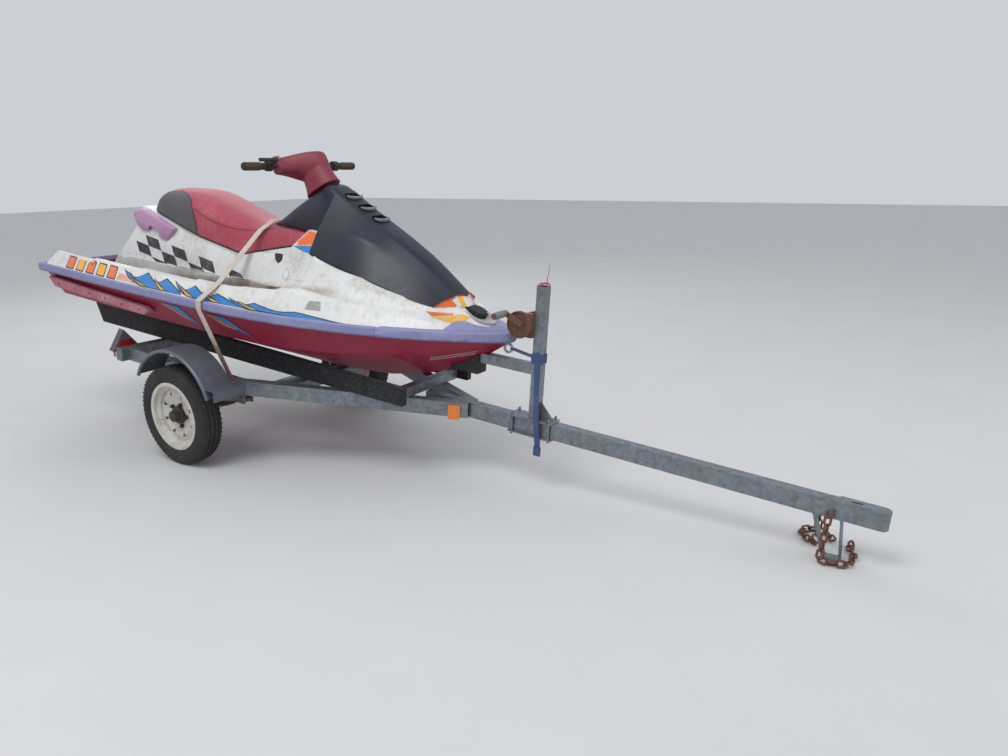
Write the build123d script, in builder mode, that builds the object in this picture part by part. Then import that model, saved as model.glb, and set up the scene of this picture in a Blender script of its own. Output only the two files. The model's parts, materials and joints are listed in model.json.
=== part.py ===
from build123d import *
from math import cos, radians, sin
import os

# A two-seat personal watercraft standing on its single-axle galvanized trailer.
# Millimetres. While it is modelled, +X points to the coupler, +Y to port, +Z up, and the
# frame of the trailer is level with its axle at the origin. At the end every piece is
# pitched nose-down about the axle, as the trailer parks on its tyres and its skid foot,
# and the origin moves to the middle of the ground under the whole thing.

os.makedirs("parts", exist_ok=True)

# Driving dimensions of the watercraft
stern_x = -1345
bow_x = 1540
full_beam_x = -300
half_beam_max = 546
stern_taper = 21
chine_half_max = 455
chine_rise = 155
chine_z = 395
keel_z = 216
keel_rise = 329
keel_rise_x = 350
joint_z = 562
floor_z = 505
mat_thickness = 8
gunwale_inner_y = 418
bumper_height = 46
bumper_depth = 20
cap_seam_x = 1045
pump_z = keel_z + 97
pump_bore = 72
pump_wall = 18
blade_gap = 13
bar_radius = 11
bar_half_length = 370
grip_length = 130
steering_tilt = 31.8
seam = 0.3

# Driving dimensions of the trailer
tyre_radius = 255
tyre_width = 117
bead_radius = 158
rim_radius = 174
rim_windows = 8
hub_radius = 46
half_track = 628
nose_down = 4.27
rail_height = 72
rail_width = 50
rail_top = 209
tube_wall = 4
rail_outer_y = 510
rail_rear_x = -600
rail_bend_x = 285
rail_joint_x = 1335
tongue_rear_x = 1080
tongue_front_x = 3010
nose_x = 3163
crossbar_size = 50
axle_size = 40
post_x = bow_x + 145
arm_rear_x = bow_x - 152
post_size = 45
post_height = 606
bunk_y = 262
bunk_width = 38
bunk_rear_x = -1280
bunk_front_x = 1140
fender_radius = 300
fender_sheet = 3
fender_outer_y = 690
fender_inner_y = 540
spring_half_span = 310
spring_width = 45
chain_wire = 7
link_length = 46
link_width = 30


def half_beam(x):
    """Half the beam at the deck joint."""
    if x < full_beam_x:
        return half_beam_max - stern_taper * ((full_beam_x - x) / (full_beam_x - stern_x)) ** 2
    return half_beam_max - (half_beam_max - 24) * ((x - full_beam_x) / (bow_x - full_beam_x)) ** 3


def chine(x):
    """Half breadth and height of the chine."""
    if x < full_beam_x:
        return chine_half_max - stern_taper * ((full_beam_x - x) / (full_beam_x - stern_x)) ** 2, chine_z
    t = (x - full_beam_x) / (bow_x - full_beam_x)
    return chine_half_max - (chine_half_max - 14) * t ** 2.8, chine_z + chine_rise * t ** 4


def keel(x):
    """Height of the keel line, which rises to the stem."""
    return keel_z + keel_rise * max(0, (x - keel_rise_x) / (bow_x - keel_rise_x)) ** 2.85


# The deck's cross-sections, from stern to bow
# x, gunwale width, gunwale z, foot y, foot z, top y, top z
deck_sections = [
    (stern_x, 93, 642, 285, 642, 212, 938),
    (-900, 95, 645, 285, 645, 212, 938),
    (-450, 100, 648, 285, 648, 200, 938),
    (0, 100, 652, 285, 652, 165, 938),
    (300, 97, 658, 300, 662, 165, 938),
    (560, 90, 670, 332, 688, 187, 938),
    (575, 90, 672, 335, 690, 250, 836),
    (850, 85, 690, 300, 728, 235, 765),
    (1080, 70, 640, 240, 662, 200, 706),
    (bow_x - 320, 57, 612, 190, 625, 172, 671),
    (bow_x - 230, 50, 596, 130, 618, 90, 664),
    (bow_x - 110, 35, 580, 75, 590, 30, 604),
    (bow_x - 40, 20, 572, 32, 578, 16, 584),
    (bow_x, 6, 566, 12, 568, 6, 570),
]

# The hood ahead of its rear edge
# x, edge y, edge z, crease y, crease z, ridge y, ridge z
hood_sections = [
    (562, 253, 840, 198, 938, 62, 1116),
    (670, 247, 812, 182, 936, 60, 1056),
    (800, 238, 778, 160, 925, 60, 989),
    (925, 226, 746, 128, 868, 58, 931),
    (1075, 203, 706, 112, 795, 54, 850),
    (1200, 175, 675, 102, 722, 46, 769),
    (1290, 120, 660, 80, 684, 36, 709),
]

# The neck of the hood that rises between the rider's knees
# x, foot half width, top half width, top z
neck_sections = [
    (130, 88, 58, 944),
    (283, 116, 66, 1040),
    (478, 165, 62, 1160),
    (564, 198, 62, 1115),
]

# The seat cushion
# x, base y, base z, shoulder y, shoulder z, crown y, crown z
seat_sections = [
    (-795, 150, 900, 120, 962, 60, 985),
    (-700, 208, 880, 170, 1000, 90, 1036),
    (-450, 214, 800, 190, 985, 100, 1042),
    (-130, 212, 740, 180, 905, 90, 958),
    (20, 210, 720, 170, 878, 80, 929),
    (250, 198, 760, 152, 900, 70, 938),
    (476, 184, 830, 140, 930, 60, 944),
]

# The line on which the seat lies on the pedestal, from rear to front
seat_line = [(-1100, 1018), (-732, 921), (-334, 816), (0, 759), (165, 800), (380, 848), (478, 952)]


def section(x, *half):
    """A closed cross-section at x, mirrored from its port half, given as y, z pairs."""
    mirrored = [(-y, z) for y, z in reversed(half) if y > 0]
    with BuildSketch(Plane.YZ.offset(x)) as outline:
        with BuildLine():
            Polyline(*half, *mirrored, close=True)
        make_face()
    return outline.sketch


def side_face(*points):
    """A closed outline in the side view, given as x, z pairs."""
    with BuildSketch(Plane.XZ) as outline:
        with BuildLine():
            Polyline(*points, close=True)
        make_face()
    return outline.sketch


def plan_face(z, *points):
    """A closed outline in plan at height z."""
    with BuildSketch(Plane.XY.offset(z)) as outline:
        with BuildLine():
            Polyline(*points, close=True)
        make_face()
    return outline.sketch


# Places on the hull
tunnel_half = 112
tunnel_front_x = stern_x + 350
tunnel_roof_z = pump_z + 100
duct_half = 60
duct_front_x = tunnel_front_x + 520
bay_rear_x = -700
bay_front_x = 330
bay_half = 180
bay_floor_z = 312
bay_mouth_half = 150
engine_length = 560
engine_rear_x = -engine_length / 2
shaft_radius = 12
shaft_hole = 13
sill_x = stern_x + 22
sill_z = joint_z + 28
pedestal_foot_x = stern_x + 300

# The plan of the footwells and the platform behind the pedestal, port half
well_half = [
    (sill_x, gunwale_inner_y),
    (150, gunwale_inner_y),
    (430, 375),
    (430, 335),
    (150, 290),
    (pedestal_foot_x + 5, 290),
]
well_plan = well_half + [(x, -y) for x, y in reversed(well_half)]

# Hull: a V bottom with hard chines, closed by the deck
with BuildPart() as hull:
    loft([section(row[0], (0, keel(row[0])), chine(row[0]), (half_beam(row[0]), joint_z))
          for row in deck_sections], ruled=True)
    # raked transom
    extrude(side_face((stern_x - 60, joint_z - 20), (stern_x, joint_z - 20), (stern_x + 60, 150),
                      (stern_x - 60, 150)), amount=800, both=True, mode=Mode.SUBTRACT)
    # footwells and rear platform
    extrude(plan_face(floor_z, *well_plan), amount=100, mode=Mode.SUBTRACT)
    # jet tunnel, open below and behind
    extrude(side_face((stern_x - 60, 100), (stern_x - 60, tunnel_roof_z), (tunnel_front_x, tunnel_roof_z),
                      (tunnel_front_x, 100)), amount=tunnel_half, both=True, mode=Mode.SUBTRACT)
    # intake duct that climbs from the keel to the pump
    extrude(side_face((tunnel_front_x, pump_z - duct_half), (tunnel_front_x, pump_z + duct_half),
                      (tunnel_front_x + 130, pump_z + duct_half), (duct_front_x, 140),
                      (tunnel_front_x + 150, 140)), amount=duct_half, both=True, mode=Mode.SUBTRACT)
    # engine bay
    extrude(plan_face(bay_floor_z, (bay_rear_x, -bay_half), (bay_front_x, -bay_half),
                      (bay_front_x, bay_half), (bay_rear_x, bay_half)), amount=400, mode=Mode.SUBTRACT)
    # tube for the drive shaft, from the duct to the engine
    with BuildSketch(Plane.YZ.offset(tunnel_front_x + 100)):
        with Locations((0, pump_z)):
            Circle(shaft_hole)
    extrude(amount=engine_rear_x - tunnel_front_x - 100, mode=Mode.SUBTRACT)

# The filler cap stands in an oval recess in the nose, on this sloping plane
cap_slope = 22
cap_plane = Plane(origin=(bow_x - 195, 0, 636), x_dir=(cos(radians(cap_slope)), 0, -sin(radians(cap_slope))),
                  z_dir=(sin(radians(cap_slope)), 0, cos(radians(cap_slope))))

# Deck: gunwales, footwells, pedestal and fore deck in one moulding
with BuildPart() as deck:
    loft([section(x, (half_beam(x), joint_z), (half_beam(x) - wide, gun_z), (foot_y, foot_z), (top_y, top_z))
          for x, wide, gun_z, foot_y, foot_z, top_y, top_z in deck_sections], ruled=True)
    # sloping back of the pedestal, over the rear platform
    extrude(side_face((stern_x - 155, joint_z), (pedestal_foot_x, joint_z), (-823, 851), (-803, 1100),
                      (stern_x - 155, 1100)), amount=gunwale_inner_y, both=True, mode=Mode.SUBTRACT)
    extrude(plan_face(joint_z, *well_plan), amount=200, mode=Mode.SUBTRACT)
    extrude(plan_face(sill_z, (stern_x - 50, -gunwale_inner_y), (sill_x + 1, -gunwale_inner_y),
                      (sill_x + 1, gunwale_inner_y), (stern_x - 50, gunwale_inner_y)),
            amount=200, mode=Mode.SUBTRACT)
    # bed of the seat
    extrude(side_face(*seat_line, (478, 1300), (-1100, 1300)), amount=400, both=True, mode=Mode.SUBTRACT)
    # mouth of the engine bay under the seat
    extrude(plan_face(joint_z, (bay_rear_x, -bay_mouth_half), (bay_front_x, -bay_mouth_half),
                      (bay_front_x, bay_mouth_half), (bay_rear_x, bay_mouth_half)),
            amount=400, mode=Mode.SUBTRACT)
    # filler recess
    with BuildSketch(cap_plane):
        Ellipse(84, 52)
    extrude(amount=80, mode=Mode.SUBTRACT)

# Steering: the bars turn about a raked axis over the neck of the hood
tilt = radians(steering_tilt)
steer_origin = (393, 0, 1113)
steer_plane = Plane(origin=steer_origin, x_dir=(cos(tilt), 0, sin(tilt)), z_dir=(-sin(tilt), 0, cos(tilt)))
stem_radius = 20
stem_depth = 60

# Hood: a sloping cover with a neck up to the steering and three louvres on its ridge
louvres = [(590, 24), (678, 24), (765, 24)]
with BuildPart() as hood:
    loft([section(x, (edge_y, edge_z), (crease_y, crease_z), (ridge_y, ridge_z))
          for x, edge_y, edge_z, crease_y, crease_z, ridge_y, ridge_z in hood_sections], ruled=True)
    loft([section(x, (foot_y, 938), (top_y, top_z)) for x, foot_y, top_y, top_z in neck_sections], ruled=True)
    add(deck.part, mode=Mode.SUBTRACT)
    # everything above the sweep of the steering pad
    with BuildSketch(steer_plane.offset(-8)):
        Circle(150)
    extrude(amount=200, mode=Mode.SUBTRACT)
    # well for the steering stem
    with BuildSketch(steer_plane.offset(-stem_depth - seam)):
        Circle(stem_radius + 6)
    extrude(amount=100, mode=Mode.SUBTRACT)
    for x, depth in louvres:
        ridge_z = 1116 - (x - 562) * 0.515
        louvre_plane = Plane(origin=(x, 0, ridge_z), x_dir=(0, 1, 0), z_dir=(0.46, 0, 0.888))
        with BuildSketch(louvre_plane.offset(-depth)):
            SlotOverall(84, 30)
        extrude(amount=60, mode=Mode.SUBTRACT)

# Seat cushion, strapped shut over the engine bay
with BuildPart() as seat:
    loft([section(x, (base_y, base_z), (shoulder_y, shoulder_z), (crown_y, crown_z))
          for x, base_y, base_z, shoulder_y, shoulder_z, crown_y, crown_z in seat_sections])
    extrude(side_face(*seat_line, (478, 400), (-1100, 400)), amount=400, both=True, mode=Mode.SUBTRACT)
    add(hood.part, mode=Mode.SUBTRACT)

# Mat on the footwell floors and the rear platform
with BuildPart() as deck_mat:
    extrude(plan_face(floor_z, *well_plan), amount=mat_thickness)

# Bumper rail round the gunwale, with the cap that covers its bow end
bumper_x = [row[0] for row in deck_sections]


def bumper_ring(grow, rear_x, front_x):
    """Plan outline of the gunwale grown outwards."""
    half = [(x, half_beam(x) + grow) for x in bumper_x if rear_x < x < front_x]
    half = [(rear_x, half_beam(max(rear_x, stern_x)) + grow)] + half
    half.append((front_x, half_beam(min(front_x, bow_x)) + (grow if front_x < bow_x else -12)))
    return half + [(x, -y) for x, y in reversed(half)]


bumper_z = joint_z - bumper_height / 2
with BuildPart() as bumper_rail:
    extrude(plan_face(bumper_z, *bumper_ring(bumper_depth, stern_x - bumper_depth, cap_seam_x)),
            amount=bumper_height)
    chamfer(bumper_rail.edges().group_by(Axis.Z)[0] + bumper_rail.edges().group_by(Axis.Z)[-1], 6)
    extrude(plan_face(bumper_z, *bumper_ring(0, stern_x, cap_seam_x + 50)), amount=bumper_height,
            mode=Mode.SUBTRACT)
    add(deck.part, mode=Mode.SUBTRACT)

with BuildPart() as bow_cap:
    extrude(plan_face(bumper_z, *bumper_ring(bumper_depth, cap_seam_x + 1, bow_x + 12)), amount=bumper_height)
    chamfer(bow_cap.edges().group_by(Axis.Z)[0] + bow_cap.edges().group_by(Axis.Z)[-1], 6)
    # rebate over the joint of hull and deck at the stem
    tip_x = bow_x - 40
    extrude(plan_face(joint_z - 0.5, (tip_x, 1 - half_beam(tip_x)), (bow_x, -half_beam(bow_x)),
                      (bow_x, half_beam(bow_x)), (tip_x, half_beam(tip_x) - 1)), amount=1, mode=Mode.SUBTRACT)
    add(deck.part, mode=Mode.SUBTRACT)
    add(hull.part, mode=Mode.SUBTRACT)

# Sponsons: bolted strips on the hull's sides at the stern
with BuildPart() as sponson_right:
    sponson_plane = Plane(origin=(-1290, -490, 488), x_dir=(1, 0, -0.04), z_dir=(0, -1, 0))
    with BuildSketch(sponson_plane):
        with BuildLine():
            Polyline((0, 26), (60, -26), (900, -22), (930, 0), (900, 22), close=True)
        make_face()
    extrude(amount=46)
    extrude(sponson_right.faces().sort_by(Axis.Y)[-1], amount=40)
    add(hull.part, mode=Mode.SUBTRACT)
with BuildPart() as sponson_left:
    mirror(sponson_right.part, about=Plane.XZ)

# Grab handle: an arm on each side of the seat's tail, joined by a bar behind it
handle_outer_y = 258
handle_arm = 34
handle_bar_x = -822
handle_bar_z = 885
with BuildPart() as grab_handle:
    for side in (1, -1):
        with BuildSketch(Plane.XZ.offset(side * handle_outer_y)):
            with BuildLine():
                Polyline((-762, 929), (-483, 847), (-551, 774), (-609, 781), (-620, 825), (-718, 843),
                         (-708, 816), (-780, 808), (-828, 846), (-833, 884), (-806, 920), close=True)
            make_face()
        extrude(amount=-side * handle_arm)
    with BuildSketch(Plane.XZ):
        with Locations((handle_bar_x, handle_bar_z)):
            Circle(26)
    extrude(amount=handle_outer_y - 4, both=True)
    add(deck.part, mode=Mode.SUBTRACT)
    add(seat.part, mode=Mode.SUBTRACT)

# Filler cap with a knurled rim, on the floor of its recess
with BuildPart() as filler_cap:
    with BuildSketch(cap_plane):
        Circle(42)
        with PolarLocations(42, 12):
            Circle(5)
    extrude(amount=22)
    with BuildSketch(cap_plane.offset(22)):
        Circle(38)
    extrude(amount=4)

# Engine, one plain block on the floor of its bay
with BuildPart() as engine:
    with BuildSketch(Plane.XY.offset(bay_floor_z)):
        Rectangle(engine_length, 300)
    extrude(amount=330)

# Jet pump: a bored housing with stator vanes and a narrower outlet
pump_outer = pump_bore + pump_wall
flange_radius = pump_outer + 6
pump_rear_x = stern_x + 142
outlet_rear_x = stern_x + 100
arm_inner = 86
arm_thickness = 10
pivot_x = outlet_rear_x - 12
pin_radius = 6
outlet_bore = 51
outlet_outer = 58
stator_x = pump_rear_x + 24
stator_length = 40
blade_hub = 24
pump_axis = Axis((0, 0, pump_z), (1, 0, 0))
with BuildPart() as jet_pump:
    with BuildSketch(Plane.XZ):
        with BuildLine():
            Polyline((tunnel_front_x, pump_z + pump_bore), (tunnel_front_x, pump_z + flange_radius),
                     (tunnel_front_x - 14, pump_z + flange_radius),
                     (tunnel_front_x - 14, pump_z + pump_outer), (pump_rear_x, pump_z + pump_outer),
                     (pump_rear_x, pump_z + outlet_outer + 4), (outlet_rear_x, pump_z + outlet_outer),
                     (outlet_rear_x, pump_z + outlet_bore), (pump_rear_x, pump_z + outlet_bore + 2),
                     (pump_rear_x + 30, pump_z + pump_bore), close=True)
        make_face()
    revolve(axis=pump_axis)
    # arms that carry the nozzle's pivots
    for side in (1, -1):
        with BuildSketch(Plane.XY.offset(pump_z + side * arm_inner)):
            with Locations((pivot_x + 32, 0)):
                Rectangle(100, 36)
            with Locations((pivot_x, 0)):
                Circle(pin_radius + 0.5, mode=Mode.SUBTRACT)
        extrude(amount=side * arm_thickness)
    with BuildSketch(Plane.YZ.offset(stator_x)):
        with Locations((0, pump_z)):
            Circle(blade_hub)
            with PolarLocations(48, 6):
                Rectangle(50, 5)
    extrude(amount=stator_length)


# Impeller: a hub with four twisted blades on a shaft that runs from the stator to the engine
impeller_x = tunnel_front_x - 130
blade_tip = pump_bore - blade_gap
hub_length = 96
with BuildPart() as impeller:
    with BuildSketch(Plane.YZ.offset(impeller_x)):
        with Locations((0, pump_z)):
            Circle(blade_hub)
    extrude(amount=hub_length)
    with BuildSketch(Plane.YZ.offset(stator_x + stator_length + seam)):
        with Locations((0, pump_z)):
            Circle(shaft_radius)
    extrude(amount=engine_rear_x - stator_x - stator_length - 2 * seam)
    for quarter in range(4):
        out = Vector(0, sin(radians(90 * quarter)), cos(radians(90 * quarter)))
        centre = Vector(impeller_x + hub_length / 2, 0, pump_z)
        blade = []
        for radius, pitch, chord, thick in ((blade_hub - 6, 62, 84, 6), (blade_tip, 34, 96, 3)):
            with BuildSketch(Plane(origin=centre + out * radius, x_dir=(1, 0, 0), z_dir=out)) as root:
                Rectangle(chord * sin(radians(pitch)), thick, rotation=pitch)
            blade.append(root.sketch)
        loft(blade)

# Steering nozzle on two upright pins behind the pump
nozzle_length = 110
nozzle_front = outlet_outer + 14
nozzle_rear = 48
nozzle_wall = 6
with BuildPart() as steering_nozzle:
    with BuildSketch(Plane.XZ):
        with BuildLine():
            Polyline((pivot_x + 8, pump_z + nozzle_front), (pivot_x + 8, pump_z + nozzle_front + nozzle_wall),
                     (pivot_x - nozzle_length, pump_z + nozzle_rear + nozzle_wall),
                     (pivot_x - nozzle_length, pump_z + nozzle_rear), close=True)
        make_face()
    revolve(axis=pump_axis)
    for side in (1, -1):
        with BuildSketch(Plane.XY.offset(pump_z + side * (nozzle_front - 2))):
            with Locations((pivot_x, 0)):
                Circle(14)
        extrude(amount=side * (arm_inner - nozzle_front))
        with BuildSketch(Plane.XY.offset(pump_z + side * nozzle_front)):
            with Locations((pivot_x, 0)):
                Circle(pin_radius)
        extrude(amount=side * (arm_inner + arm_thickness - nozzle_front))

# Ride plate under the pump, level with the keel
plate_half = 98
plate_thickness = 8
pedestal_rear_x = pump_rear_x + 40
with BuildPart() as ride_plate:
    extrude(side_face((stern_x + 30, keel_z - plate_thickness), (stern_x + 30, keel_z - seam),
                      (tunnel_front_x + 90, keel_z - seam), (tunnel_front_x + 70, keel_z - plate_thickness)),
            amount=plate_half, both=True)
    extrude(side_face((pedestal_rear_x, keel_z - 1), (pedestal_rear_x, keel_z + 30),
                      (pedestal_rear_x + 90, keel_z + 30),
                      (pedestal_rear_x + 90, keel_z - 1)), amount=26, both=True)
    with BuildSketch(Plane.YZ.offset(stern_x)):
        with Locations((0, pump_z)):
            Circle(pump_outer)
    extrude(amount=tunnel_front_x - stern_x, mode=Mode.SUBTRACT)

# Intake grate: bars across the mouth of the duct, following the V of the bottom
grate_front_x = tunnel_front_x + 440
grate_rear_x = tunnel_front_x + 120
grate_bar = 8
bottom_slope = (chine_z - keel_z) / (chine_half_max - stern_taper)
with BuildPart() as intake_grate:
    for y in (-44, -22, 0, 22, 44):
        with BuildSketch(Plane.XY.offset(keel_z + 4 + abs(y) * bottom_slope)):
            with Locations(((grate_front_x + grate_rear_x) / 2, y)):
                Rectangle(grate_front_x - grate_rear_x, grate_bar)
        extrude(amount=12)
    for x in (grate_rear_x + 30, grate_front_x - 90):
        extrude(section(x, (0, keel_z + 8), (62, keel_z + 8 + 62 * bottom_slope),
                        (62, keel_z + 16 + 62 * bottom_slope), (0, keel_z + 16)), amount=10)
    add(hull.part, mode=Mode.SUBTRACT)

# Handlebar: a straight bar on a raked stem, with the throttle lever
bar_centre = steer_plane.from_local_coords(Vector(-72, 0, 172))
bar_plane = Plane(origin=bar_centre, x_dir=(cos(tilt), 0, sin(tilt)), z_dir=(0, -1, 0))
lever_y = 232
with BuildPart() as handlebar:
    with BuildSketch(bar_plane):
        Circle(bar_radius)
    extrude(amount=bar_half_length, both=True)
    with BuildSketch(steer_plane.offset(-stem_depth)):
        Circle(stem_radius)
    extrude(amount=stem_depth + 172)
    with BuildSketch(bar_plane):
        with Locations((36, -8)):
            Rectangle(84, 26)
    extrude(amount=22, both=True)
    with BuildSketch(bar_plane.offset(lever_y)):
        Circle(24)
        with Locations((38, 0)):
            Rectangle(60, 14)
    extrude(amount=-26)
    with BuildSketch(bar_plane.offset(lever_y - 26)):
        with Locations((64, 0)):
            Rectangle(12, 14)
    extrude(amount=112)

# Handlebar pad: a soft cover over the middle of the bar with a flared boot
pad_sections = [
    # y, local x, local z, length, height, corner
    (-172, -76, 172, 64, 76, 18),
    (-95, -48, 158, 120, 96, 26),
    (0, 2, 122, 186, 138, 34),
    (95, -48, 158, 120, 96, 26),
    (172, -76, 172, 64, 76, 18),
]
boot_corner = 30
with BuildPart() as handlebar_pad:
    slices = []
    for y, local_x, local_z, long, high, corner in pad_sections:
        with BuildSketch(Plane(origin=(steer_origin[0], y, steer_origin[2]), x_dir=(cos(tilt), 0, sin(tilt)),
                               z_dir=(0, -1, 0))) as slice_sketch:
            with Locations((local_x, local_z)):
                Rectangle(long, high)
            chamfer(slice_sketch.vertices(), corner)
        slices.append(slice_sketch.sketch)
    loft(slices, ruled=True)
    with BuildSketch(steer_plane.offset(2)) as boot_foot:
        Rectangle(216, 144)
        chamfer(boot_foot.vertices(), boot_corner * 1.4)
    with BuildSketch(steer_plane.offset(90)) as boot_top:
        Rectangle(166, 124)
        chamfer(boot_top.vertices(), boot_corner)
    loft([boot_foot.sketch, boot_top.sketch], ruled=True)
    add(handlebar.part, mode=Mode.SUBTRACT)

# Grips, the port one with a collar
with BuildPart() as grip_right:
    with BuildSketch(bar_plane.offset(bar_half_length - grip_length)):
        Circle(17)
        Circle(bar_radius, mode=Mode.SUBTRACT)
    extrude(amount=grip_length)
with BuildPart() as grip_left:
    with BuildSketch(bar_plane.offset(grip_length - bar_half_length)):
        Circle(17)
        Circle(bar_radius, mode=Mode.SUBTRACT)
    extrude(amount=-grip_length)
    with BuildSketch(bar_plane.offset(30 + grip_length - bar_half_length)):
        Circle(25)
        Circle(bar_radius, mode=Mode.SUBTRACT)
    extrude(amount=-32)

# Bow eye under the stem
bow_eye_x = bow_x - 16
bow_eye_z = keel(bow_eye_x) - 24
bow_eye_outer = 24
bow_eye_bore = 15
bow_eye_half = 5
with BuildPart() as bow_eye:
    with BuildSketch(Plane.XZ):
        with Locations((bow_eye_x, bow_eye_z)):
            Circle(bow_eye_outer)
            Circle(bow_eye_bore, mode=Mode.SUBTRACT)
    extrude(amount=bow_eye_half, both=True)
    add(hull.part, mode=Mode.SUBTRACT)
    add(bow_cap.part, mode=Mode.SUBTRACT)

# Trailer frame: a long tongue between two rails that run parallel and then close on it
rail_y = rail_outer_y - rail_width / 2
rail_bottom = rail_top - rail_height
joint_y = 20
rail_run = Vector(rail_joint_x - rail_bend_x, joint_y - rail_y)
rail_turn = radians(rail_run.get_angle(Vector(1, 0)))


def rail_outline(half, rear_x):
    """Plan of the port rail at the given half width."""
    lean = half * sin(rail_turn / 2) / cos(rail_turn / 2)
    off_x = half * sin(rail_turn)
    off_y = half * cos(rail_turn)
    return [(rear_x, rail_y + half), (rail_bend_x + lean, rail_y + half),
            (rail_joint_x + off_x, joint_y + off_y), (rail_joint_x - off_x, joint_y - off_y),
            (rail_bend_x - lean, rail_y - half), (rear_x, rail_y - half)]


def ground_z(x):
    """Height of the ground in the trailer's frame, which stands nose-down over it."""
    return (x * sin(radians(nose_down)) - tyre_radius) / cos(radians(nose_down))


# The skid foot is a flat bar bent to a U and welded under the tongue
foot_rear_x = 2905
sole_rear_x = 2965
sole_front_x = 3030
foot_bar = 7
with BuildPart() as tongue:
    with BuildSketch(Plane.YZ.offset(tongue_rear_x)):
        with Locations((0, rail_top - rail_height / 2)):
            Rectangle(rail_width, rail_height)
            Rectangle(rail_width - 2 * tube_wall, rail_height - 2 * tube_wall, mode=Mode.SUBTRACT)
    extrude(amount=tongue_front_x - tongue_rear_x)
    extrude(side_face((foot_rear_x, rail_bottom + 1), (sole_rear_x, ground_z(sole_rear_x)),
                      (sole_front_x, ground_z(sole_front_x)), (tongue_front_x, rail_bottom + 1),
                      (tongue_front_x - foot_bar, rail_bottom + 1),
                      (sole_front_x - foot_bar, ground_z(sole_front_x) + foot_bar),
                      (sole_rear_x + foot_bar, ground_z(sole_rear_x) + foot_bar),
                      (foot_rear_x + foot_bar, rail_bottom + 1)), amount=rail_width / 2 - 3, both=True)

with BuildPart() as rail_left:
    extrude(plan_face(rail_bottom, *rail_outline(rail_width / 2, rail_rear_x)), amount=rail_height)
    extrude(plan_face(rail_bottom + tube_wall, *rail_outline(rail_width / 2 - tube_wall, rail_rear_x - 10)),
            amount=rail_height - 2 * tube_wall, mode=Mode.SUBTRACT)
    # the tongue passes between the rails' ends
    with BuildSketch(Plane.YZ.offset(tongue_rear_x - 60)):
        with Locations((0, rail_top - rail_height / 2)):
            Rectangle(rail_width, rail_height + 2)
    extrude(amount=500, mode=Mode.SUBTRACT)
    with BuildSketch(Plane.XY.offset(rail_bottom)):
        with Locations((rail_joint_x, -250)):
            Rectangle(1000, 500)
    extrude(amount=rail_height, mode=Mode.SUBTRACT)
    # spring hangers
    for x in (-spring_half_span - 7, spring_half_span + 7):
        for y in (rail_y - spring_width / 2 - seam - 2.5, rail_y + spring_width / 2 + seam + 2.5):
            with BuildSketch(Plane.XY.offset(98)):
                with Locations((x, y)):
                    Rectangle(44, 5)
            extrude(amount=rail_bottom - 98)
with BuildPart() as rail_right:
    mirror(rail_left.part, about=Plane.XZ)

crossbar_centre_x = 1053
middle_bar_x = 505
with BuildPart() as front_crossbar:
    with BuildSketch(Plane.XY.offset(rail_top + seam)):
        with Locations((crossbar_centre_x, 0)):
            Rectangle(crossbar_size, 2 * (bunk_y - bunk_width / 2 - seam))
    extrude(amount=crossbar_size)


def rail_inner_y(x):
    """Inner face of the rails where they close on the tongue."""
    near, far = rail_outline(rail_width / 2, rail_rear_x)[4:2:-1]
    return near[1] + (far[1] - near[1]) * (x - near[0]) / (far[0] - near[0])


middle_front_x = middle_bar_x + crossbar_size / 2
middle_rear_x = middle_bar_x - crossbar_size / 2
with BuildPart() as middle_crossbar:
    extrude(plan_face(rail_top - crossbar_size, (middle_rear_x, -rail_inner_y(middle_rear_x)),
                      (middle_front_x, -rail_inner_y(middle_front_x)),
                      (middle_front_x, rail_inner_y(middle_front_x)),
                      (middle_rear_x, rail_inner_y(middle_rear_x))), amount=crossbar_size)
with BuildPart() as rear_crossbar:
    with BuildSketch(Plane.XY.offset(rail_bottom)):
        with Locations((rail_rear_x - crossbar_size / 2, 0)):
            Rectangle(crossbar_size, 1110)
    extrude(amount=rail_height)

# Bunks: carpeted boards on edge, shaped to the hull
with BuildPart() as bunk_left:
    with BuildSketch(Plane.XZ.offset(-bunk_y)):
        with BuildLine():
            Polyline((bunk_rear_x, rail_top + 118), (bunk_front_x, rail_top + 88),
                     (bunk_front_x, rail_top + seam), (bunk_rear_x + 60, rail_top + seam), close=True)
        make_face()
    extrude(amount=bunk_width / 2, both=True)
    add(hull.part, mode=Mode.SUBTRACT)
with BuildPart() as bunk_right:
    mirror(bunk_left.part, about=Plane.XZ)

# Axle: a square tube with a round spindle at each end
spindle_radius = 16
with BuildPart() as axle:
    with BuildSketch(Plane.XZ):
        Rectangle(axle_size, axle_size)
    extrude(amount=half_track - 62, both=True)
    with BuildSketch(Plane.XZ):
        Circle(spindle_radius)
    extrude(amount=half_track + 14, both=True)

# Leaf springs with their clamp plates and U-bolts
leaf = 7
leaf_camber = 71
leaf_seat_z = axle_size / 2


def leaf_z(x, leaves):
    """Height of the spring's top face, less so many leaves."""
    return leaf_seat_z + 3 * leaf + 2 + leaf_camber * (x / spring_half_span) ** 2 - leaf * leaves


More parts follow.
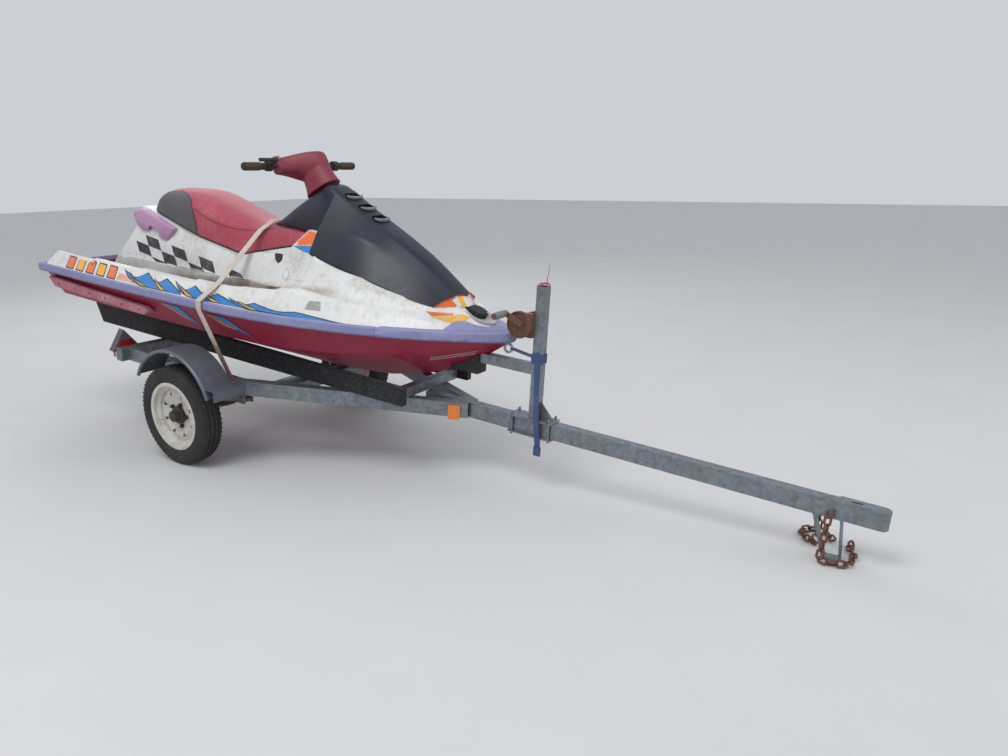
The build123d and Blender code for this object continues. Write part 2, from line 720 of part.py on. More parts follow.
spring_top = [(x, leaf_z(x, 0)) for x in (0, 60, 120, 180, 240, spring_half_span)]
spring_under = [(spring_half_span, leaf_z(spring_half_span, 1)), (205, leaf_z(205, 1)), (205, leaf_z(205, 2)),
                (110, leaf_z(110, 2)), (110, leaf_z(110, 3)), (48, leaf_seat_z)]
spring_half = spring_top + spring_under
with BuildPart() as spring_left:
    spring_plane = Plane.XZ.offset(-rail_y)
    with BuildSketch(spring_plane):
        with BuildLine():
            Polyline(*spring_half, *[(-x, z) for x, z in reversed(spring_half[1:])], close=True)
        make_face()
    extrude(amount=spring_width / 2, both=True)
    with BuildSketch(spring_plane):
        with Locations((-spring_half_span - 7, 112), (spring_half_span + 7, 112)):
            Circle(13)
    extrude(amount=spring_width / 2, both=True)
    for low in (-leaf_seat_z - 8, leaf_z(0, 0) - 1):
        with BuildSketch(Plane.XY.offset(low)):
            with Locations((0, rail_y)):
                Rectangle(96, 66)
        extrude(amount=8)
    with BuildSketch(Plane.XY.offset(-leaf_seat_z - 14)):
        with Locations((0, rail_y)):
            with GridLocations(64, 57, 2, 2):
                Circle(5)
    extrude(amount=94)
with BuildPart() as spring_right:
    mirror(spring_left.part, about=Plane.XZ)

# Wheels: tyre, pressed rim with triangular windows, and hub, on each side
lug_circle = 58
stud_radius = 5
wheel_outlines = {
    "tyre": [(bead_radius + 2.2, 46), (rim_radius + 2, 47), (206, tyre_width / 2), (228, tyre_width / 2 - 2),
             (247, 50), (tyre_radius, 37), (tyre_radius, -37), (247, -50), (228, 2 - tyre_width / 2),
             (206, -tyre_width / 2), (rim_radius + 2, -47), (bead_radius + 2.2, -46)],
    "barrel": [(rim_radius, 52), (rim_radius, 48), (160, 47.5), (bead_radius, 30), (140, 22), (140, -22),
               (bead_radius, -30), (160, -47.5), (rim_radius, -48), (rim_radius, -52), (156, -51),
               (154, -32), (136, -25), (136, 25), (154, 32), (156, 51)],
    "disc": [(hub_radius, 10), (72, 10), (104, 24), (137, 16), (137, 11), (104, 19), (72, 4),
             (hub_radius, 4)],
    "hub": [(spindle_radius + 1, -42), (hub_radius - 8, -42), (hub_radius - 0.3, -8), (hub_radius - 0.3, 24),
            (30, 30), (27, 54), (0, 56), (0, 18), (spindle_radius + 1, 18)],
}


def wheel_face(side, outline):
    """A half section of the wheel as radius and outward offset pairs."""
    with BuildSketch(Plane.YZ) as face:
        with BuildLine():
            Polyline(*[(side * (half_track + out), radius) for radius, out in wheel_outlines[outline]],
                     close=True)
        make_face()
    return face.sketch


def build_wheel(side):
    """Tyre, rim and hub of one wheel; side is 1 for port and -1 for starboard."""
    with BuildPart() as tyre:
        revolve(wheel_face(side, "tyre"), axis=Axis.Y)
    with BuildPart() as rim:
        revolve(wheel_face(side, "barrel"), axis=Axis.Y)
        revolve(wheel_face(side, "disc"), axis=Axis.Y)
        with BuildSketch(Plane.XZ.offset(-side * half_track)):
            with PolarLocations(105, rim_windows, start_angle=22.5):
                Triangle(a=30, B=62, C=62, rotation=90)
            with PolarLocations(lug_circle, 5):
                Circle(stud_radius + 0.5)
        extrude(amount=40, both=True, mode=Mode.SUBTRACT)
    with BuildPart() as hub:
        revolve(wheel_face(side, "hub"), axis=Axis.Y)
        with BuildSketch(Plane.XZ.offset(-side * (half_track + 10))):
            with PolarLocations(lug_circle, 5):
                RegularPolygon(11, 6)
        extrude(amount=-side * 14)
        with BuildSketch(Plane.XZ.offset(-side * (half_track - 2))):
            with PolarLocations(lug_circle, 5):
                Circle(stud_radius)
        extrude(amount=-side * 30)
        with BuildSketch(Plane.XZ.offset(-side * (half_track - 6))):
            Circle(70)
            Circle(spindle_radius + 1, mode=Mode.SUBTRACT)
        extrude(amount=side * -9.7)
    return tyre, rim, hub


tyre_left, rim_left, hub_left = build_wheel(1)
tyre_right, rim_right, hub_right = build_wheel(-1)

# Fenders: rolled sheet arcs on brackets from the rails
fender_x = 25
fender_z = 50
fender_start = 21.5
fender_sweep = 134
fender_lip = 9
step_x = 312
step_long = 66
stay_x = -256
stay_long = 58
with BuildPart() as fender_right:
    start = radians(fender_start)
    radial = Plane(origin=(fender_x, 0, fender_z), x_dir=(cos(start), 0, sin(start)),
                   z_dir=(-sin(start), 0, cos(start)))
    with BuildSketch(radial):
        with Locations((fender_radius - fender_sheet / 2, -(fender_outer_y + fender_inner_y) / 2)):
            Rectangle(fender_sheet, fender_outer_y - fender_inner_y)
        with Locations((fender_radius - fender_lip, -fender_outer_y)):
            Circle(fender_lip)
    revolve(axis=Axis((fender_x, 0, fender_z), (0, -1, 0)), revolution_arc=fender_sweep)
    # front step, an angle that reaches the rail, and a stay behind the wheel
    for x, long, outer in ((step_x, step_long, fender_outer_y), (stay_x, stay_long, fender_inner_y + 30)):
        with BuildSketch(Plane.XY.offset(rail_top - 4)):
            with Locations((x, -(outer + rail_outer_y) / 2)):
                Rectangle(long, outer - rail_outer_y)
        extrude(amount=4)
    with BuildSketch(Plane.XY.offset(rail_top - 55)):
        with Locations((step_x + step_long / 2 - 2, -(fender_outer_y + rail_outer_y) / 2)):
            Rectangle(4, fender_outer_y - rail_outer_y)
    extrude(amount=55)
    with BuildSketch(Plane.XZ):
        with Locations((fender_x, fender_z)):
            Circle(fender_radius - fender_sheet)
    extrude(amount=fender_outer_y - 20, mode=Mode.SUBTRACT)
    add(rail_right.part, mode=Mode.SUBTRACT)
with BuildPart() as fender_left:
    mirror(fender_right.part, about=Plane.XZ)

# Winch post clamped on the tongue
post_base_z = rail_top + 6
post_top_z = rail_top + post_height
arm_z = 440
with BuildPart() as winch_post:
    with BuildSketch(Plane.XY.offset(post_base_z)):
        with Locations((post_x, 0)):
            Rectangle(post_size, post_size)
            Rectangle(post_size - 6, post_size - 6, mode=Mode.SUBTRACT)
    extrude(amount=post_top_z - post_base_z)
    for z in (rail_top, rail_bottom - 6):
        with BuildSketch(Plane.XY.offset(z)):
            with Locations((post_x - 6, 0)):
                Rectangle(226, 84)
        extrude(amount=6)
    # arm to the bow stop
    with BuildSketch(Plane.YZ.offset(arm_rear_x)):
        with Locations((0, arm_z)):
            Rectangle(post_size, post_size)
            Rectangle(post_size - 6, post_size - 6, mode=Mode.SUBTRACT)
    extrude(amount=post_x - post_size / 2 - arm_rear_x)
    add(hull.part, mode=Mode.SUBTRACT)
    # U-bolts and gusset
    with BuildSketch(Plane.XY.offset(rail_bottom - 16)):
        with Locations((post_x - 6, 0)):
            with GridLocations(190, 64, 2, 2):
                Circle(5.5)
    extrude(amount=rail_height + 38)
    extrude(side_face((post_x + 20, post_base_z - 1), (post_x + 92, post_base_z - 1),
                      (post_x + 92, post_base_z + 8),
                      (post_x + 30, post_base_z + 76), (post_x + 20, post_base_z + 76)), amount=3, both=True)

# Winch on the post's rear face: side plates, drum, gear cover and crank
winch_x = post_x - 81
winch_z = 640
plate_front_x = post_x - 45
plate_rear_x = post_x - 129
post_rear_x = post_x - post_size / 2
with BuildPart() as winch:
    for y in (-42, 38):
        with BuildSketch(Plane.XZ.offset(-y)):
            with BuildLine():
                Polyline((post_rear_x, winch_z - 54), (post_rear_x, winch_z + 54),
                         (plate_front_x, winch_z + 54), (plate_rear_x, winch_z + 28),
                         (plate_rear_x, winch_z - 28), (plate_front_x, winch_z - 54), close=True)
            make_face()
        extrude(amount=-4)
    with BuildSketch(Plane.YZ.offset(post_rear_x - 4)):
        with Locations((0, winch_z)):
            Rectangle(80, 108)
    extrude(amount=4)
    with BuildSketch(Plane.XZ.offset(-40)):
        with Locations((winch_x, winch_z)):
            Circle(30)
    extrude(amount=80)
    with BuildSketch(Plane.XZ.offset(42)):
        with Locations((winch_x, winch_z)):
            Circle(60)
    extrude(amount=14)
    with BuildSketch(Plane.XZ.offset(56)):
        with Locations((winch_x + 22, winch_z + 10)):
            Circle(9)
    extrude(amount=30)
    with BuildSketch(Plane.XZ.offset(80)):
        with BuildLine():
            Polyline((winch_x + 16, winch_z - 2), (winch_x + 34, winch_z + 20), (winch_x - 52, winch_z + 60),
                     (winch_x - 64, winch_z + 38), close=True)
        make_face()
    extrude(amount=6)
    with BuildSketch(Plane.XZ.offset(84)):
        with Locations((winch_x - 54, winch_z + 48)):
            Circle(13)
    extrude(amount=96)

# Rubber block under the stem, on the end of the post's arm
block_rear_x = arm_rear_x - 158
block_low_z = 361
with BuildPart() as bow_block:
    extrude(side_face((block_rear_x, block_low_z), (arm_rear_x - seam, block_low_z), (arm_rear_x - seam, 472),
                      (block_rear_x, 384)), amount=38, both=True)
    add(hull.part, mode=Mode.SUBTRACT)

# Coupler: a channel over the tongue's end with a round nose and a ball socket below
ball_radius = 25.4
socket_depth = 37
socket_x = nose_x - 45
coupler_rear_x = tongue_front_x - 25
coupler_half = rail_width / 2 + 4
coupler_low_z = rail_bottom + 3
hollow_front_x = socket_x - 34
with BuildPart() as coupler:
    with BuildSketch(Plane.XY.offset(coupler_low_z)):
        with BuildLine():
            Polyline((coupler_rear_x, -coupler_half), (nose_x - coupler_half, -coupler_half))
            ThreePointArc((nose_x - coupler_half, -coupler_half), (nose_x, 0),
                          (nose_x - coupler_half, coupler_half))
            Polyline((nose_x - coupler_half, coupler_half), (coupler_rear_x, coupler_half),
                     (coupler_rear_x, -coupler_half))
        make_face()
    extrude(amount=rail_height + 1)
    with BuildSketch(Plane.XY.offset(rail_bottom - 1)):
        with Locations(((coupler_rear_x + tongue_front_x) / 2, 0)):
            Rectangle(tongue_front_x - coupler_rear_x, rail_width)
    extrude(amount=rail_height + 1, mode=Mode.SUBTRACT)
    with BuildSketch(Plane.XY.offset(rail_bottom)):
        with Locations(((tongue_front_x + hollow_front_x) / 2, 0)):
            Rectangle(hollow_front_x - tongue_front_x, rail_width)
    extrude(amount=rail_height - 1, mode=Mode.SUBTRACT)
    with BuildSketch(Plane.XY.offset(coupler_low_z)):
        with Locations((socket_x, 0)):
            Circle(ball_radius)
    extrude(amount=socket_depth, mode=Mode.SUBTRACT)
    # slot of the latch
    with BuildSketch(Plane.XY.offset(rail_top - 10)):
        with Locations((tongue_front_x + 36, 0)):
            SlotOverall(40, 12)
    extrude(amount=30, mode=Mode.SUBTRACT)

# Tail lights behind the ends of the rear crossbar, housing and lens
with BuildPart() as tail_light_left:
    light_x = rail_rear_x - crossbar_size - seam
    with BuildSketch(Plane.YZ.offset(light_x)):
        with BuildLine():
            Polyline((568, 186), (498, 300), (408, 190), close=True)
        make_face()
    extrude(amount=-44)
    with BuildSketch(Plane.YZ.offset(light_x - 44)):
        with BuildLine():
            Polyline((552, 194), (498, 284), (426, 197), close=True)
        make_face()
    extrude(amount=-5)
with BuildPart() as tail_light_right:
    mirror(tail_light_left.part, about=Plane.XZ)

# Amber reflectors on the outer faces of the rails near the tongue
with BuildPart() as side_reflectors:
    for side in (1, -1):
        face_dir = Vector(sin(rail_turn), side * cos(rail_turn), 0)
        along = Vector(cos(rail_turn), -side * sin(rail_turn), 0)
        centre = Vector(rail_joint_x, side * joint_y, 0) + face_dir * (rail_width / 2 + seam) - along * 66
        with BuildSketch(Plane(origin=(centre.X, centre.Y, 162), x_dir=along, z_dir=face_dir)):
            Rectangle(58, 72)
        extrude(amount=8)

# Safety chains: rusted stiff, from a bolt on each side of the tongue to a heap on the ground
lie = chain_wire * 2
chain_runs = [
    [(2925, 22, 166), (2925, 46, 160), (2925, 62, ground_z(2925) + lie), (2880, 104, ground_z(2880) + lie),
     (2850, 150, ground_z(2850) + lie), (2890, 196, ground_z(2890) + lie), (2950, 178, ground_z(2950) + lie),
     (2985, 120, ground_z(2985) + lie)],
    [(2965, -22, 166), (2965, -46, 160), (2962, -60, ground_z(2962) + lie), (3000, -74, ground_z(3000) + lie),
     (3062, -50, ground_z(3062) + lie), (3072, 30, ground_z(3072) + lie), (3040, 96, ground_z(3040) + lie),
     (3056, 160, ground_z(3056) + lie)],
]
link_pitch = link_length - 2 * chain_wire + 2


def chain_places(run):
    """Ends of the links, one pitch apart along a run of points."""
    places = []
    left = 0
    for near, far in zip(run, run[1:]):
        step = Vector(*far) - Vector(*near)
        while left < step.length:
            places.append(Vector(*near) + step.normalized() * left)
            left += link_pitch
        left -= step.length
    return places


def chain_links(run):
    """The flat outlines of the links of one run, each rolled a quarter turn against the last."""
    places = chain_places(run)
    links = []
    for number, (near, far) in enumerate(zip(places, places[1:])):
        roll = radians(45 + 90 * (number % 2))
        along = (far - near).normalized()
        across = along.cross(Vector(0.3, 0.2, 1)).normalized()
        facing = across * cos(roll) + across.cross(along) * sin(roll)
        with BuildSketch(Plane(origin=(near + far) / 2, x_dir=along, z_dir=facing)) as link:
            Rectangle(link_length, link_width)
            chamfer(link.vertices(), link_width / 3)
            Rectangle(link_length - 2 * chain_wire, link_width - 2 * chain_wire, mode=Mode.SUBTRACT)
        links.append(link.sketch)
    return links


with BuildPart() as safety_chain_left:
    for outline in chain_links(chain_runs[0]):
        extrude(outline, amount=chain_wire / 2, both=True)
    add(tongue.part, mode=Mode.SUBTRACT)
with BuildPart() as safety_chain_right:
    for outline in chain_links(chain_runs[1]):
        extrude(outline, amount=chain_wire / 2, both=True)
    add(tongue.part, mode=Mode.SUBTRACT)

# Tie-down strap over the front of the seat, drawn tight between the rails
strap_x = 105
strap_width = 38
strap_thick = 3
strap_half = [(563, 545), (563, 587), (440, 660), (168, 896), (80, 941)]
with BuildPart() as tie_down_strap:
    outer = strap_half + [(-y, z) for y, z in reversed(strap_half)]
    with BuildSketch(Plane.YZ.offset(strap_x - strap_width / 2)):
        with BuildLine():
            strap_line = Polyline(*outer)
            offset(strap_line, amount=strap_thick, side=Side.RIGHT, kind=Kind.INTERSECTION)
        make_face()
    extrude(amount=strap_width)
    for side in (1, -1):
        upper = Plane(origin=(strap_x, side * (563 + strap_thick / 2), 545), x_dir=(1, 0, 0), z_dir=(0, 0, 1))
        lower = Plane(origin=(256, side * (rail_outer_y + seam + strap_thick / 2), rail_top - 4),
                      x_dir=(1, 0, 0), z_dir=(0, 0, 1))
        with BuildSketch(upper) as strap_top:
            Rectangle(strap_width, strap_thick)
        with BuildSketch(lower) as strap_foot:
            Rectangle(strap_width, strap_thick)
        loft([strap_top.sketch, strap_foot.sketch])

# Straps at the winch post: one round the post with its loose end and hook, two to the bow eye
bow_strap_width = 9
bow_strap_y = bow_eye_half + seam + bow_strap_width / 2
with BuildPart() as bow_straps:
    with BuildSketch(Plane.XY.offset(470)):
        with Locations((post_x, 0)):
            Rectangle(post_size + 7, post_size + 7)
            Rectangle(post_size + 0.6, post_size + 0.6, mode=Mode.SUBTRACT)
    extrude(amount=44)
    hang = []
    for x, y, z in ((post_x + 4, -24.6, 478), (post_x + 30, -46, rail_top + 8), (post_x + 46, -46, 94)):
        with BuildSketch(Plane.XY.offset(z)) as cut:
            with Locations((x, y)):
                Rectangle(26, 3)
        hang.append(cut.sketch)
    loft(hang, ruled=True)
    with BuildSketch(Plane.XY.offset(52)):
        with Locations((post_x + 46, -46)):
            Rectangle(34, 9)
    extrude(amount=44)
    for y in (-bow_strap_y, bow_strap_y):
        start = Vector(bow_eye_x + bow_eye_bore + 2, y, bow_eye_z + 2)
        end = Vector(post_x - post_size / 2 - 1, y, 492)
        with BuildSketch(Plane(origin=start, x_dir=(0, 1, 0), z_dir=end - start)):
            Rectangle(bow_strap_width, 4)
        extrude(amount=(end - start).length)
    add(hull.part, mode=Mode.SUBTRACT)

# Park every piece: nose down about the axle, on the ground, over the middle of its span
pieces = {
    "hull": hull, "deck": deck, "hood": hood, "seat": seat, "deck_mat": deck_mat,
    "bumper_rail": bumper_rail, "bow_cap": bow_cap, "sponson_right": sponson_right,
    "sponson_left": sponson_left, "grab_handle": grab_handle, "filler_cap": filler_cap,
    "engine": engine, "jet_pump": jet_pump, "impeller": impeller, "steering_nozzle": steering_nozzle,
    "ride_plate": ride_plate, "intake_grate": intake_grate, "handlebar": handlebar,
    "handlebar_pad": handlebar_pad, "grip_right": grip_right, "grip_left": grip_left,
    "bow_eye": bow_eye, "tongue": tongue, "rail_left": rail_left, "rail_right": rail_right,
    "front_crossbar": front_crossbar, "middle_crossbar": middle_crossbar, "rear_crossbar": rear_crossbar,
    "bunk_left": bunk_left, "bunk_right": bunk_right, "axle": axle, "spring_left": spring_left,
    "spring_right": spring_right, "tyre_left": tyre_left, "rim_left": rim_left, "hub_left": hub_left,
    "tyre_right": tyre_right, "rim_right": rim_right, "hub_right": hub_right,
    "fender_left": fender_left, "fender_right": fender_right, "winch_post": winch_post,
    "winch": winch, "bow_block": bow_block, "coupler": coupler, "tail_light_left": tail_light_left,
    "tail_light_right": tail_light_right, "side_reflectors": side_reflectors,
    "safety_chain_left": safety_chain_left, "safety_chain_right": safety_chain_right,
    "tie_down_strap": tie_down_strap, "bow_straps": bow_straps,
}
pitched = Location((0, 0, 0), (0, nose_down, 0))
for piece in pieces.values():
    piece.part.move(pitched)
boxes = [piece.part.bounding_box() for piece in pieces.values()]
middle_x = (min(box.min.X for box in boxes) + max(box.max.X for box in boxes)) / 2
parked = Location((-middle_x, 0, tyre_radius))
for name, piece in pieces.items():
    piece.part.move(parked)
    piece.part.label = name
    export_step(piece.part, f"parts/{name}.step")
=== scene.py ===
import json
import math
import bmesh
import bpy
from mathutils import Matrix, Vector
from mathutils.bvhtree import BVHTree

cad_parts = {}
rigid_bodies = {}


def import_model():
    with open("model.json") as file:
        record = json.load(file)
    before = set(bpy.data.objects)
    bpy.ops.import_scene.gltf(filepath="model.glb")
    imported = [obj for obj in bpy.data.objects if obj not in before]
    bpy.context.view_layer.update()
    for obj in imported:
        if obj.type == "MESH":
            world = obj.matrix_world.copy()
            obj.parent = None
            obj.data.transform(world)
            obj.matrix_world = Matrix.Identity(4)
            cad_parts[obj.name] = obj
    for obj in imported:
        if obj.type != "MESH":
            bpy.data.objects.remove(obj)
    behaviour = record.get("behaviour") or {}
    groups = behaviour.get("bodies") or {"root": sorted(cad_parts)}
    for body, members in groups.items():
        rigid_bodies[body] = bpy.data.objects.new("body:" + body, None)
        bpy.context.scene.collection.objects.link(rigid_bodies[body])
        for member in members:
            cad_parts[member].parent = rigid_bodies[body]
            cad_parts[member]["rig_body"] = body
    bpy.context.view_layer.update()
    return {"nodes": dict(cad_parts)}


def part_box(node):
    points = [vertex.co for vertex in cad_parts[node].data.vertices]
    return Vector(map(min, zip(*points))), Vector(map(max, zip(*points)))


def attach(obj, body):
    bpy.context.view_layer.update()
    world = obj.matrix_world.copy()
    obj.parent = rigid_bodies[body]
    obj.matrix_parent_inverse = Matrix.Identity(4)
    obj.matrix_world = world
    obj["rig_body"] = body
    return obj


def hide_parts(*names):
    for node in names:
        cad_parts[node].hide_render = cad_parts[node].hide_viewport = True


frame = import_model()

# The craft and its trailer are laid out in the trailer's own frame, in millimetres: x forward
# from the axle, y to port, z up. It is parked nose down on its tyres and its skid foot.
nose_down = math.radians(4.27)
axle_low, axle_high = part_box("axle")
millimetre = 0.001
parked = (Matrix.Translation((axle_low + axle_high) / 2) @ Matrix.Rotation(nose_down, 4, "Y")
          @ Matrix.Scale(millimetre, 4))


def place(x, y, z):
    """A point of the trailer's frame, where it stands on the ground."""
    return parked @ Vector((x, y, z))


# The camera looks down on the starboard bow at a walker's height. Its picture keeps plain
# colours, with no film curve.
def linked(name, data):
    """A new object in the scene."""
    made = bpy.data.objects.new(name, data)
    bpy.context.scene.collection.objects.link(made)
    return made


camera_at = (2.4202, -2.8326, 1.4261)
camera_yaw = math.radians(32.455)
camera_pitch = math.radians(15.354)
camera_roll = math.radians(-0.634)
camera = linked("camera", bpy.data.cameras.new("camera"))
camera.data.sensor_width = 36
camera.data.lens = 27.07
camera.data.clip_end = 60
camera.matrix_world = (Matrix.Translation(camera_at) @ Matrix.Rotation(camera_yaw, 4, "Z")
                       @ Matrix.Rotation(math.pi / 2 - camera_pitch, 4, "X")
                       @ Matrix.Rotation(camera_roll, 4, "Z"))
bpy.context.scene.camera = camera
bpy.context.scene.view_settings.view_transform = "Standard"


# The floor is a pale studio floor that keeps the shadow, under a large soft lamp, a wide fill
# and an even sky.
def feed(tree, made, inputs):
    """Sets a node's inputs, as plain values or as the sockets that feed them."""
    for key, value in inputs.items():
        if isinstance(value, bpy.types.NodeSocket):
            tree.links.new(value, made.inputs[key])
        else:
            made.inputs[key].default_value = value
    return made


def node(tree, kind, inputs, **settings):
    """A new node with its settings and its inputs."""
    made = tree.nodes.new(kind)
    for key, value in settings.items():
        setattr(made, key, value)
    return feed(tree, made, inputs)


def own_place(tree):
    """The socket of a piece's own coordinates."""
    return node(tree, "ShaderNodeTexCoord", {}).outputs["Object"]


def noise(tree, vector, scale, detail, rough=0.5):
    """The socket of a noise."""
    inputs = {"Vector": vector, "Scale": scale, "Detail": detail, "Roughness": rough}
    return node(tree, "ShaderNodeTexNoise", inputs).outputs["Fac"]


def blended(tree, share, near, far):
    """The socket of a colour between two others."""
    return node(tree, "ShaderNodeMix", {0: share, 6: near, 7: far}, data_type="RGBA").outputs[2]


def new_finish(name):
    """A new material, with its tree and its shader."""
    material = bpy.data.materials.new(name)
    material.use_nodes = True
    return material, material.node_tree, material.node_tree.nodes["Principled BSDF"]


floor_colour = (0.62, 0.62, 0.61, 1)
floor_pale = (0.66, 0.66, 0.65, 1)
floor_half = 30
floor_mesh = bpy.data.meshes.new("floor")
floor_mesh.from_pydata([(-floor_half, -floor_half, 0), (floor_half, -floor_half, 0),
                        (floor_half, floor_half, 0), (-floor_half, floor_half, 0)], [], [(0, 1, 2, 3)])
floor = linked("floor", floor_mesh)
floor_finish, floor_tree, floor_shader = new_finish("studio floor")
floor_noise = noise(floor_tree, own_place(floor_tree), 2.0, 5.0)
feed(floor_tree, floor_shader, {"Base Color": blended(floor_tree, floor_noise, floor_colour, floor_pale),
                                "Roughness": 0.85})
floor_mesh.materials.append(floor_finish)

sky = bpy.data.worlds.new("sky")
bpy.context.scene.world = sky
sky.use_nodes = True
feed(sky.node_tree, sky.node_tree.nodes["Background"], {"Color": (0.86, 0.9, 0.96, 1), "Strength": 0.7})

lamps = [
    # name, place, aim, size, power
    ("key lamp", (0.4, -3.4, 6.0), (0.0, 0, 0.6), 3.0, 170),
    ("fill lamp", (6.0, 1.5, 4.4), (0, 0, 0.5), 4.0, 60),
    ("back lamp", (-5.0, 3.5, 4.5), (0, 0, 0.6), 3.5, 80),
]
for lamp_name, lamp_at, lamp_aim, lamp_size, lamp_power in lamps:
    lamp = linked(lamp_name, bpy.data.lights.new(lamp_name, "AREA"))
    lamp.data.size = lamp_size
    lamp.data.energy = lamp_power
    lamp_turn = (Vector(lamp_aim) - Vector(lamp_at)).to_track_quat("-Z", "Y")
    lamp.matrix_world = Matrix.Translation(lamp_at) @ lamp_turn.to_matrix().to_4x4()


# The frame is hot-dip galvanized square tube: a tongue with a skid foot under its end, two rails
# that close on it, and three crossbars. The zinc has dulled to patchy grey spangles.
def maths(tree, operation, *values, **settings):
    """The socket of one sum over sockets or plain numbers."""
    return node(tree, "ShaderNodeMath", dict(enumerate(values)), operation=operation, **settings).outputs[0]


def ranged(tree, value, low, high, to_low=0.0, to_high=1.0, **settings):
    """The socket of a value moved from one range to another, and held inside it."""
    ends = {"Value": value, "From Min": low, "From Max": high, "To Min": to_low, "To Max": to_high}
    return node(tree, "ShaderNodeMapRange", ends, **settings).outputs[0]


def scaled(tree, colour, share):
    """The socket of a colour made lighter or darker."""
    return node(tree, "ShaderNodeVectorMath", {0: colour, "Scale": share}, operation="SCALE").outputs[0]


def swung(tree, colour, value, contrast):
    """The socket of a colour that is lighter where a value is over a half, and darker under it."""
    return scaled(tree, colour, maths(tree, "MULTIPLY_ADD", maths(tree, "ADD", value, -0.5), contrast, 1.0))


def new_group(name, given, made, kind="ShaderNodeTree"):
    """A node group with named inputs and outputs; returns it, the sockets it is given and its end."""
    group = bpy.data.node_groups.new(name, kind)
    for in_out, sockets in (("INPUT", given), ("OUTPUT", made)):
        for label, sort in sockets.items():
            group.interface.new_socket(label, in_out=in_out, socket_type="NodeSocket" + sort)
    return group, group.nodes.new("NodeGroupInput").outputs, group.nodes.new("NodeGroupOutput")


wear, worn, wear_out = new_group("weathering", {"Colour": "Color", "Stain": "Color", "Amount": "Float",
                                                "Scale": "Float", "Runs": "Float", "Tone": "Float"},
                                 {"Colour": "Color", "Mask": "Float"})
wear_place = own_place(wear)
wear_fine = maths(wear, "MULTIPLY", worn["Scale"], 11.0)
wear_patches = ranged(wear, noise(wear, wear_place, worn["Scale"], 7.0, 0.64), 0.46, 0.72)
wear_specks = ranged(wear, noise(wear, wear_place, wear_fine, 4.0, 0.7), 0.42, 0.62, 0.35)
wear_upright = node(wear, "ShaderNodeMapping", {"Vector": wear_place, "Scale": (1.0, 1.0, 0.1)}).outputs[0]
wear_runs = ranged(wear, noise(wear, wear_upright, wear_fine, 3.0), 0.55, 0.75, 0.0, worn["Runs"])
wear_sum = maths(wear, "MULTIPLY_ADD", wear_patches, wear_specks, wear_runs)
wear_mask = maths(wear, "MULTIPLY", wear_sum, worn["Amount"], use_clamp=True)
wear_slow = noise(wear, wear_place, maths(wear, "MULTIPLY", worn["Scale"], 0.4), 2.0)
wear_toned = swung(wear, worn["Colour"], wear_slow, worn["Tone"])
feed(wear, wear_out, {"Colour": blended(wear, wear_mask, wear_toned, worn["Stain"]), "Mask": wear_mask})

spangle, spangle_in, spangle_out = new_group("zinc spangle", {"Colour": "Color", "Contrast": "Float"},
                                             {"Colour": "Color"})
spangle_cells = node(spangle, "ShaderNodeTexVoronoi", {"Vector": own_place(spangle), "Scale": 60.0})
spangle_grey = node(spangle, "ShaderNodeSeparateColor", {"Color": spangle_cells.outputs["Color"]}).outputs[0]
spangle_toned = swung(spangle, spangle_in["Colour"], spangle_grey, spangle_in["Contrast"])
feed(spangle, spangle_out, {"Colour": spangle_toned})

relief, relief_in, relief_out = new_group("relief", {"Scale": "Float", "Dents": "Float", "Grain": "Float"},
                                          {"Height": "Float"})
relief_fine = noise(relief, own_place(relief), relief_in["Scale"], 4.0)
relief_slow = noise(relief, own_place(relief), 9.0, 2.0)
relief_grain = maths(relief, "MULTIPLY", relief_fine, relief_in["Grain"])
relief_height = maths(relief, "MULTIPLY_ADD", relief_slow, relief_in["Dents"], relief_grain)
feed(relief, relief_out, {"Height": relief_height})

stain_roughness = 0.25


def finish(name, colour, stain, amount, rough, scale=6.0, runs=0.3, tone=0.15, metallic=0.0,
           grain_scale=300.0, grain=0.5, dents=0.0, depth=0.0004, sheen=0.0, clear=0.0, zinc=0.0, weave=None):
    """A worn finish: its own colour, the stain over it, its roughness and its relief, and where it has a
    weave, painted shade between the loops and a painted highlight on their tops.
    """
    material, tree, shader = new_finish(name)
    own = (*colour, 1)
    if zinc:
        own = node(tree, "ShaderNodeGroup", {"Colour": own, "Contrast": zinc}, node_tree=spangle).outputs[0]
    wearing = {"Stain": (*stain, 1), "Amount": amount, "Scale": scale, "Runs": runs, "Tone": tone}
    age = node(tree, "ShaderNodeGroup", {"Colour": own, **wearing}, node_tree=wear).outputs
    shown = age["Colour"]
    height = node(tree, "ShaderNodeGroup", {"Scale": grain_scale, "Grain": grain, "Dents": dents},
                  node_tree=relief).outputs[0]
    if weave:
        threads = node(tree, "ShaderNodeGroup", {}, node_tree=weave).outputs[0]
        height = maths(tree, "ADD", height, threads)
        # The colour is painted darker between the loops, as shade, and lighter on their tops, as a highlight.
        shown = scaled(tree, shown, ranged(tree, threads, -1.2, -0.1, 0.35, 2.4))
    bump = node(tree, "ShaderNodeBump", {"Height": height, "Strength": 0.6, "Distance": depth}).outputs[0]
    roughness = ranged(tree, age["Mask"], 0.0, 1.0, rough, min(1.0, rough + stain_roughness))
    feed(tree, shader, {"Base Color": shown, "Roughness": roughness, "Normal": bump, "Metallic": metallic,
                        "Sheen Weight": sheen, "Coat Weight": clear})
    return material


